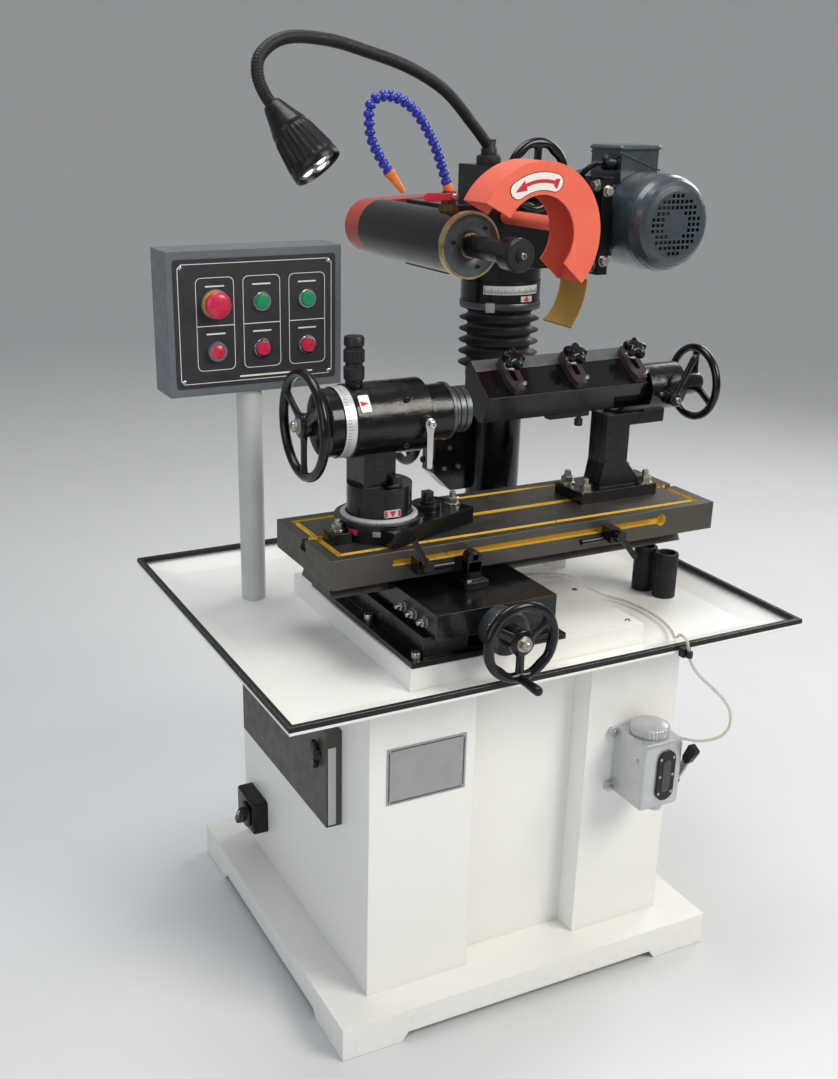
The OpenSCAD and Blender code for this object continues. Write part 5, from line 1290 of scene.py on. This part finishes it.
@dataclass
class Wheelhead:
    """Spindle front, wheel guard dressing, fine-feed wheel, motor trim, lamp and coolant hose."""

    spin: tuple[float, float] = (5.0, 1150.0)
    guard: tuple[float, float] = (60.0, 1170.0)
    guard_front: float = -112.0
    fine: Point = (165, 66, 1242)
    neck: tuple[Point, ...] = (
        (121, 140, 1276), (119, 140, 1284), (85, 135, 1318), (31, 128, 1365), (-40, 118, 1398), (-122, 108, 1420),
        (-170, 100, 1430), (-222, 92, 1434), (-256, 84, 1430), (-281, 76, 1418), (-297, 68, 1402), (-300, 62, 1380),
        (-292, 58, 1358), (-282, 52, 1342))
    hose: tuple[Point, ...] = (
        (5, 60, 1222), (-2, 60, 1241), (-10, 60, 1262), (-18, 60, 1281), (-30, 60, 1303), (-44, 60, 1323),
        (-58, 60, 1339), (-77, 60, 1351), (-96, 60, 1357), (-114, 60, 1356), (-126, 60, 1349), (-131, 60, 1336),
        (-130, 60, 1316), (-126, 60, 1297), (-112, 60, 1272), (-94, 60, 1248))

    def front(self) -> None:
        """Grey bearing plate with three screws inside the brass ring, and the dark nose cap with its screw."""
        x, z = self.spin
        shape = Shape()
        shape.lathe(
            [(0, 19), (0, 45.5), (1.5, 45.5), (2.2, 44.5), (2.2, 20), (1.5, 19)], (x, -12, z), -Y, 0, 72, loop=True)
        ring = 32.5 * spread(np.radians([50, 170, 290]), X, Z)
        bolt_row(shape, np.array([x, -14, z]) + ring, -Y, 4, Head.SOCKET, 1)
        shape.make("bearing_plate", "wheelhead", [GREY_STEEL, DARK_STEEL])
        shape = Shape()
        shape.lathe([(0, 23.2), (4, 23.2), (6, 21.8), (6, 9), (8, 9), (8, 7.5)], (x, -144.5, z), -Y, 0, 56)
        bolt(shape, (x, -152.4, z), -Y, 6, Head.SOCKET, 1)
        shape.make("spindle_nose_cap", "grinding_spindle", [DARK_STEEL, ZINC])

    def label(self) -> None:
        """White curved plate with a plain red arrow that follows the guard's arc."""
        shape = Shape()
        gx, gz = self.guard
        mid_r, thick = 76.7, 0.8

        def lay(r: Arr, a: Arr, deep: float, finish: int) -> None:
            """Thin sheet before the guard's front, between radii (n, 2) at angles (n,)."""
            c, s = np.cos(a)[:, None], np.sin(a)[:, None]
            front = np.stack([gx + r * c, np.full_like(r, self.guard_front - deep), gz + r * s], -1)
            slab(shape, front, -Y, thick, finish)

        def band(r0: float, r1: float, a0: float, a1: float, deep: float, finish: int, ends: bool = False) -> None:
            """Part of a flat ring on the guard's front, with half-round ends where asked."""
            a = np.radians(np.linspace(a0, a1, 48))
            mid, half = (r0 + r1) / 2, (r1 - r0) / 2
            run = np.minimum(np.abs(a - a[0]), np.abs(a - a[-1])) * mid
            w = half * (np.sqrt(1 - np.clip(1 - run / half, 0, 1) ** 2) if ends else np.ones_like(run))
            w = np.maximum(w, 0.2)
            lay(np.stack([mid - w, mid + w], 1), a, deep, finish)

        band(63.5, 89.5, 64.5, 132.5, 0.4, 2, True)
        band(64.5, 88.5, 65.5, 131.5, 0.7, 0, True)
        band(74.2, 79.2, 76, 112, 1.0, 1)
        for a0, a1, tip, wide in ((112, 126, 0.0, 7.5), (76, 70.5, 7.0, 5.0)):
            r = np.array([[mid_r - wide, mid_r + wide], [mid_r - tip - 0.3, mid_r + tip + 0.3]])
            lay(r, np.radians([a0, a1]), 1.0, 1)
        shape.make("guard_arrow_plate", "guard", [MARK_WHITE, MARK_RED, MARK_BLACK])

    def flap(self) -> None:
        """Tan splash flap under the guard: a thin curved sheet with a toothed lower edge."""
        shape = Shape()
        t = np.linspace(0, 1, 14)[:, None, None]
        s = np.linspace(0, 1, 41)[None, :, None]
        near = np.array([[148, -112, 1106], [143, -112, 1073], [125, -112, 1036]], float)
        far = np.array([[145, -48, 1101], [137, -48, 1065], [117, -48, 1039]], float)
        top, mid, low = ((1 - s) * near[k] + s * far[k] for k in range(3))
        grid = (1 - t) ** 2 * top + 2 * t * (1 - t) * (2 * mid - (top + low) / 2) + t**2 * low
        grid = grid + np.array([0, 0, 1.4]) * t**8 * np.cos(40 * math.pi * s)
        slab(shape, grid, (1, 0, 0), 1.6)
        shape.make("splash_flap", "guard", [FLAP])

    def shaft(self, shape: Shape) -> None:
        """Shaft of the fine-feed wheel into the tower."""
        shape.lathe([(0, 9), (24, 9), (24, 15), (31, 15)], self.fine, Y, 0, 32)

    def motor(self) -> None:
        """Terminal box lid with its sloping seam, cable gland with a short cable, plate bolts and the drain plug."""
        shape = Shape()
        shape.prism(rounded(82, 92, 5, 6), (379, 130, 1278), X, Y, 0, 3.5, 0)
        shape.prism(rounded(82, 92, 5, 6), (379, 130, 1281.5), X, Y, 0, 3, 0, .94)
        bolt_row(shape, product((346, 412), (92, 168), (1283,)), Z, 3.5, Head.PAN, 1)
        seam = np.array([[-41.8, 10], [-41.8, 6.5], [41.8, -23], [41.8, -19.5]])
        shape.prism(seam, (379, 88, 1266), X, Z, 0, 1.4, 0)
        shape.prism(np.array([[-43, 0], [43, -30], [43, -27], [-43, 3]]), (342, 130, 1272), -Y, Z, 0, 1.4, 0)
        gland = [(0, 13), (4, 13), (5, 10), (12, 10), (12, 12.5), (22, 12.5), (26, 9), (27, 6)]
        shape.lathe(gland, (342, 104, 1258), -X, 2, 18)
        cable = smooth_path(
            [(317, 104, 1258), (304, 104, 1257), (292, 112, 1248), (286, 122, 1236), (280, 130, 1222)], 30)
        shape.tube(cable, 4.5, 2, 12)
        bolt_row(shape, product((288,), (74, 230), (1098, 1224)), -X, 9, Head.HEX, 1)
        bolt_row(shape, product((298,), (60,), (1106, 1216)), -Y, 8, Head.HEX, 1)
        shape.make("motor_trim", "wheelhead", [SLATE, ZINC, PLASTIC], bevel=0.7)

    def lamp(self) -> None:
        """Ribbed gooseneck on its foot and the lamp: a bell with lengthwise flutes, a reflector and three lights."""
        shape = Shape()
        path = smooth_path(self.neck, 520)
        rib = np.abs(np.sin(np.linspace(0, 130 * math.pi, 520)))
        shape.tube(path, 8.3 + 0.9 * rib, 0, 16, (0.1, 1, 0))
        shape.lathe(
            [(0, 20), (12, 20), (15, 17), (15, 13), (24, 13), (26, 11), (38, 10.4)], (121, 140, 1256), Z, 0, 40)
        shape.make("lamp_gooseneck", "wheelhead", [RUBBER], ["lamp_neck"], sharp=60, slot="lamp_black")
        shape = Shape()
        foot, tip = np.array([-282.0, 52, 1342]), np.array([-237.0, 0, 1262])
        axis = unit(tip - foot)
        e1, e2 = across(axis)
        rows = np.array(
            [(-6, 10, 0), (-4, 13, 0), (2, 15.5, 0), (12, 18.5, 0), (24, 22.6, 0), (34, 26.4, 0), (38, 27.6, 0),
            (40, 27.2, 0), (42, 27.4, 0), (44, 28.2, .3), (50, 29.4, 1), (70, 32.6, 1), (86, 35.4, 1), (92, 36, .3),
            (94, 36.8, 0), (104, 37, 0), (105.5, 36, 0), (105.5, 34, 0), (98, 32, 0)])
        a = circle(144)
        r = rows[:, 1:2] + rows[:, 2:] * np.cos(24 * a)
        grid = foot + rows[:, :1, None] * axis + r[..., None] * spread(a, e1, e2)
        shape.sheet(grid, 0, loop_v=True, caps=True)
        shape.lathe([(96, 32.2), (99, 31.6), (99.5, 4)], foot, axis, 1, 48)
        for way in spread(circle(3), e1, e2):
            place = foot + 98.6 * axis + 15 * way
            shape.lathe([(0, 12.5), (4, 13.2), (5, 12.6), (3, 9)], place, axis, 1, 32)
            shape.lathe([(1, 8.6), (3.4, 8), (5.2, 4.6), (5.8, 1)], place, axis, 2, 24)
        shape.make("lamp_shade", "wheelhead", [PLASTIC, LENS, LED_WHITE], ["lamp_head"], slot="lamp_black")

    def coolant(self) -> None:
        """Link hose: beads whose radius follows a half circle, between orange ends, on a bronze elbow."""
        shape = Shape()
        path = smooth_path(self.hose, 460)
        links = 26
        u = (np.linspace(0, links, 460) % 1)
        bead = np.where(u < 0.68, 5.0 + 3.4 * np.sqrt(np.clip(1 - (u / 0.34 - 1) ** 2, 0, 1)), 4.7)
        near = np.linspace(0, 1, 460)
        shape.tube(path[14:], bead[14:], 0, 18, (0, 1, 0.05))
        shape.tube(path[:24], np.interp(near[:24], [0, 0.02, 0.045], [8.4, 8.0, 6.4]), 1, 18, (0, 1, 0.05))
        tip, end = np.array([-73.0, 60, 1224]), path[-1]
        way = tip - end
        nozzle = end + np.linspace(-0.25, 1, 20)[:, None] * way
        shape.tube(nozzle, np.concatenate([[8.6] * 4, np.linspace(7.6, 4.2, 16)]), 1, 20, (0, 1, 0.05))
        x = self.spin[0]
        shape.lathe([(-9, 15), (3, 15), (3, 12), (8, 12)], (x, 60, 1200), Z, 2, 6)
        shape.lathe([(6, 10), (10, 12), (16, 12.4), (22, 11), (26, 9)], (x, 60, 1198), Z, 2, 32)
        shape.lathe([(-12, 9), (12, 9)], (x, 60, 1214), Y, 2, 28)
        shape.make(
            "coolant_link_hose", "wheelhead", [BLUE_HOSE, ORANGE_TIP, BRONZE], ["hose"], sharp=50, slot="hose_blue")
        shape = Shape()
        lever = np.array(
            [[8, -4], [8, 4], [0, 6], [-14, 5], [-46, 7], [-50, 3], [-50, -3], [-46, -7], [-14, -5], [0, -6]], float)
        shape.prism(lever, (x, 47.2, 1216), X, Z, 0, 3.2, 0)
        shape.lathe([(-4, 4.9), (5, 4.9), (6.5, 3.6)], (x, 47, 1216), -Y, 1, 24)
        shape.make(
            "coolant_valve_lever", "coolant_valve", [MARK_RED, ZINC], ["valve_lever"], bevel=0.8, slot="red_plastic")

    def build(self) -> None:
        """Builds all pieces of the wheelhead."""
        Handwheel(
            "fine_feed_wheel", "head_wheel", "fine_wheel", self.fine, -Y, Z, 57, 7,
            [(-15, 16), (-12, 18), (2, 18), (6, 17), (7, 14)], 9, 1.2, 8, self.shaft).build()
        self.front()
        self.label()
        self.flap()
        self.motor()
        self.lamp()
        self.coolant()


@dataclass
class Controls:
    """Panel of the control box, its buttons, the side door's knob and the main switch."""

    x: float = -288.0
    z: float = 1038.0
    front: float = 118.0
    columns: tuple[float, ...] = (-66.0, 8.0, 82.0)
    rows: tuple[float, ...] = (29.0, -41.0)

    def panel(self) -> None:
        """Dark bare panel with white line frames, corner screws, bezels, a yellow collar and the red lamp."""
        shape = Shape()
        at = (self.x, self.front, self.z)
        shape.prism(rounded(259, 190, 5, 6), at, X, Z, 0, 0.9, 0)
        plate_with_hole(shape, rounded(246, 177, 6, 8), rounded(244, 175, 5.4, 8), at, X, Z, 0.7, 1.15, 1, 96)
        for c in self.columns:
            mid = (self.x + c, self.front, self.z - 1)
            plate_with_hole(shape, rounded(60, 138, 8, 8), rounded(58.2, 136.2, 7.2, 8), mid, X, Z, 0.7, 1.15, 1, 96)
            shape.prism(rounded(58, 1.2, 0.3, 2), (mid[0], self.front, self.z - 3), X, Z, 0.7, 1.15, 1)
            for r in self.rows:
                shape.prism(rounded(30, 2.2, 1, 4), (mid[0], self.front, self.z + r + 26), X, Z, 0.7, 1.1, 1)
        shape.prism(rounded(120, 2.6, 1.2, 4), (self.x + 30, self.front, self.z - 82), X, Z, 0.7, 1.1, 1)
        corners = product((self.x - 118, self.x + 118), (self.front - 0.8,), (self.z - 84, self.z + 84))
        bolt_row(shape, corners, -Y, 3.6, Head.PAN, 2)
        for i, c in enumerate(self.columns):
            for j, r in enumerate(self.rows):
                place = (self.x + c, self.front, self.z + r)
                if (i, j) == (0, 0):
                    shape.lathe([(0, 12), (0, 21), (3.2, 21), (4.4, 19.6), (4.4, 12)], place, -Y, 3, 48, loop=True)
                    shape.lathe([(3.6, 11.2), (3.6, 15), (4.8, 14.4), (4.8, 11.2)], place, -Y, 5, 48, loop=True)
                elif (i, j) != (0, 1):
                    shape.lathe(
                        [(0, 11.2), (0, 15.2), (3.4, 15), (5.2, 13.6), (5.2, 11.2)], place, -Y, 2, 48, loop=True)
        place = (self.x + self.columns[0], self.front, self.z + self.rows[1])
        shape.lathe([(0, 15), (3.4, 15), (5, 13.8), (5, 13)], place, -Y, 2, 40)
        shape.lathe([(4, 12.8), *dome(6, 6, 12.4, 80)], place, -Y, 4, 40)
        shape.make("control_panel_face", "base", [PANEL, MARK_WHITE, CHROME, YELLOW, RED_BUTTON, PLASTIC])

    def buttons(self) -> None:
        """Domed push buttons and the mushroom stop button."""
        kinds = ((GREEN_BUTTON, "green_plastic"), (RED_BUTTON, "red_plastic"))
        for n, (j, i) in enumerate(product((0, 1), (1, 2)), 1):
            shape, (finish, slot) = Shape(), kinds[j]
            place = (self.x + self.columns[i], self.front, self.z + self.rows[j])
            shape.lathe([(-22, 10.9), (7.6, 10.9), (8.8, 10), (9.3, 7), (9.5, 1)], place, -Y, 0, 40)
            shape.make(f"push_button_{n}", f"push_{n}", [finish], [f"button_{n}"], slot=slot)
        shape = Shape()
        place = (self.x + self.columns[0], self.front, self.z + self.rows[0])
        shape.lathe(
            [(-22, 10.9), (11, 10.9), (12, 13), (13, 18), (14, 19.8), (17, 20), (20, 18.6), (22.5, 13), (23, 1)],
            place, -Y, 0, 56)
        shape.make("stop_button", "emergency_stop", [RED_BUTTON], ["e_stop"], sharp=50, slot="red_plastic")

    def door(self) -> None:
        """Wing knob of the side door on its rose, and the light strip on the door's front edge."""
        shape = Shape()
        at = (-300, -132, 427)
        shape.lathe([(-12, 4.4), (0.5, 4.4), (0.5, 12), (5, 11), (9, 8), (10, 7)], at, -X, 0, 32)
        wing = np.array(
            [[-6, -22], [6, -22], [7.5, -14], [4.5, 0], [7.5, 14], [6, 22], [-6, 22], [-7.5, 14], [-4.5, 0],
            [-7.5, -14]], float)
        shape.loft(resample(wing, 60), at, Y, Z, [(-2, .92), (-4, 1), (-9, 1), (-10.4, .9)])
        shape.make("door_wing_knob", "door_latch", [PLASTIC], ["door_knob"], sharp=50, slot="black_plastic")
        shape = Shape()
        shape.block((-297, -163.4, 316), (-284, -161, 448), 0, 0.8)
        shape.make("door_edge_strip", "electrical_door", [POST_GREY])

    def switch(self) -> None:
        """Main switch: a box with round corners and a turned cover ring, and the knob with its grip bar."""
        shape = Shape()
        shape.loft(rounded(82, 62, 5, 6), (-274, 194, 145), Y, Z, [(0, 1), (-23, 1), (-26.5, .975), (-28, .93)])
        shape.lathe([(26, 29), (29.0, 29), (29.4, 28), (29.4, 25)], (-274, 182, 145), -X, 0, 56)
        bolt_row(shape, product((-301.6,), (227,), (121, 169)), -X, 3.5, Head.PAN, 1)
        shape.make("main_switch_box", "base", [PLASTIC, ZINC], ["switch_box"], sharp=50, slot="black_plastic")
        shape = Shape()
        shape.lathe([(-13, 6), (0.6, 6), (0.6, 23), (5, 24), (6.5, 22.5), (7, 12)], (-302, 182, 145), -X, 0, 56)
        a = math.radians(35)
        along, over = spread(a, Z, -Y), spread(a, Y, Z)
        shape.loft(
            rounded(14, 50, 6, 8), (-302, 182, 145), over, along, [(-5, 1), (-16, .96), (-19.4, .86), (-20, .7)])
        shape.prism(rounded(2.4, 18, 1, 4), np.array([-321.6, 182, 145]) + 12 * along, over, along, -0.6, 0.6, 1)
        shape.make(
            "main_switch_knob", "main_switch", [PLASTIC, MARK_WHITE], ["switch_knob"], sharp=50, slot="black_plastic")

    def build(self) -> None:
        """Builds all pieces of the controls."""
        self.panel()
        self.buttons()
        self.door()
        self.switch()


@dataclass
class OilPump:
    """Hand oil pump with its lever, and the clear tube over the tray rim to the slide."""

    route: tuple[Point, ...] = (
        (230, -300, 420), (248, -312, 416), (268, -330, 416), (290, -346, 426), (300, -354, 446), (294, -358, 474),
        (278, -360, 498), (252, -360, 524), (222, -360, 552), (204, -360, 576), (198, -359, 596), (198, -354, 608),
        (198, -345, 613), (200, -334, 611), (205, -322, 602), (216, -304, 593), (232, -280, 588), (246, -248, 586),
        (253, -212, 586), (253, -176, 586), (246, -138, 586), (228, -108, 588), (204, -86, 600), (184, -74, 616),
        (150, -66, 622), (104, -62, 628), (60, -60, 634), (36, -60, 636), (14.5, -60, 636))

    def body(self) -> None:
        """Rounded die-cast tank, knurled domed cap, oval sight glass, ears with screws and the lower cylinder."""
        shape = Shape()
        rows = [(318, .93), (321, .985), (325, 1), (424, 1), (429, .985), (432, .94)]
        shape.loft(rounded(73, 80, 5, 6), (193.5, -295, 0), X, Y, rows)
        shape.block((160, -263, 320), (228, -255, 430), 0, 2)
        for z in (318, 416):
            shape.prism(rounded(18, 16, 5, 6), (154, -255, z + 8), X, Z, 0, 8, 0)
            bolt(shape, (152, -263, z + 8), -Y, 5, Head.PAN, 2)
        a = circle(96)
        h = np.array([432, 432.5, 434, 444, 446, 448, 449.6, 450])
        r = np.array([26, 30, 31, 31, 29.5, 25, 14, 2])
        k = np.array([0, .6, 1.6, 1.6, .4, 0, 0, 0])
        rr = r[:, None] - k[:, None] * (np.cos(32 * a) > 0.2)[None]
        grid = np.stack([193.5 + rr * np.cos(a), -295 + rr * np.sin(a), np.broadcast_to(h[:, None], rr.shape)], -1)
        shape.sheet(grid, 0, loop_v=True, caps=True)
        shape.prism(rounded(32, 86, 15.6, 16), (198.5, -335, 375), X, Z, -0.5, 4, 1)
        shape.prism(rounded(15, 56, 7.4, 10), (198.5, -335, 375), X, Z, 3.8, 4.6, 3)
        bolt_row(shape, ((x, -338.6, z) for z, x in product((345, 375, 405), (186.5, 210.5))), -Y, 2.8, Head.PAN, 2)
        bolt(shape, (157, -318, 400), -X, 4, Head.PAN, 2)
        shape.lathe([(-1, 13), (-12, 13), (-13, 11), (-18, 11)], (206.5, -309, 319), Z, 0, 32)
        shape.lathe([(0, 7), (6, 7), (6, 5.5), (10, 5), (10, 3)], (228, -300, 420), X, 2, 20)
        shape.lathe([(0, 10), (5, 10), (6, 9)], (229, -308, 342), X, 0, 32)
        shape.make(
            "hand_oil_pump", "base", [PUMP_METAL, PLASTIC, ZINC, SIGHT], ["pump_body"], sharp=45,
            slot="pump_aluminium")

    def lever(self) -> None:
        """Flat strap lever on its pin with a flat black grip that widens to its end."""
        shape = Shape()
        a = math.radians(28)
        up, side = spread(a, Z, -Y), spread(a, Y, Z)
        at = np.array([238.0, -308, 342])
        strap = np.vstack([arc(7, 180, 360, 12), [[6, 66], [-6, 66]]])
        shape.prism(strap, at, side, up, 0, 5, 0)
        shape.lathe([(-17, 4.4), (6, 4.4), (6, 7), (10, 7), (11, 5.5)], at, X, 2, 24)
        grip = np.array([[-5, 52], [5, 52], [8, 58], [9.5, 84], [7, 88], [-7, 88], [-9.5, 84], [-8, 58]], float)
        shape.prism(grip, at, side, up, -2.5, 7.5, 1)
        shape.make(
            "pump_lever_strap", "pump_handle", [ZINC, PLASTIC, DARK_STEEL], ["pump_lever"], bevel=0.8, sharp=45,
            slot="pump_aluminium")

    def tube(self) -> None:
        """Clear tube along its route, with a clip where it passes the tray rim."""
        shape = Shape()
        path = smooth_path(self.route, 260)
        shape.tube(path, 2.2, 0, 12)
        made = shape.make("clear_oil_tube", "base", [TUBE], ["oil_tube"], slot="tube_clear")
        shape = Shape()
        shape.lathe([(0, 6), (8, 6), (9, 4.4), (14, 4.2)], (8, -60, 636), X, 0, 6)
        shape.lathe([(0, 4.8), (10, 4.8)], (198, -361.5, 586), Z, 0, 16)
        shape.block((191, -356, 584), (205, -344, 598), 0, 2)
        shape.make("tube_fittings", "base", [DARK_STEEL], bevel=0.5)

    def build(self) -> None:
        """Builds all pieces of the pump."""
        self.body()
        self.lever()
        self.tube()


DRESS: dict[Finish, tuple[str, ...]] = {
    WHITE: ("plinth", "cabinet", "tray", "pedestal"),
    BLACK: ("cross_base", "saddle", "wh_base", "wh_head", "vb_stand"),
    BLACK_SMOOTH: ("head", "column", "vb_bar", "stop_dogs", "stop_lever_left", "stop_lever_right", "ram"),
    TABLE: ("table",),
    GREY_STEEL: ("wh_spindle",),
    STEEL: ("cross_screw",),
    SPINDLE_STEEL: ("spindle",),
    STEEL_Y: ("bearings", "rotor"),
    BRASS: ("spindle_cap",),
    RUBBER: ("belt",),
    ORANGE: ("wheel_guard",),
    RED_PAINT: ("belt_guard",),
    SLATE: ("motor", "fan_cover"),
    POST_GREY: ("control_post",),
    HAMMERED: ("control_box",),
    DOOR_GREY: ("elec_door",),
}


def dress() -> None:
    """Gives each shown solid its finish."""
    for finish, names in DRESS.items():
        for name in names:
            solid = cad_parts[name]
            solid.data.materials.clear()
            solid.data.materials.append(finish.make())
            LOG.info("%s wears %s", name, finish.name)


def main() -> None:
    """Builds the stage, dresses the solids and adds the pieces."""
    logging.basicConfig(level=logging.INFO, format="%(message)s")
    Stage().build()
    dress()
    for part in (Base(), CrossSlide(), Workhead(), BladeBar(), Column(), Wheelhead(), Controls(), OilPump()):
        part.build()


if __name__ == "__main__":
    main()
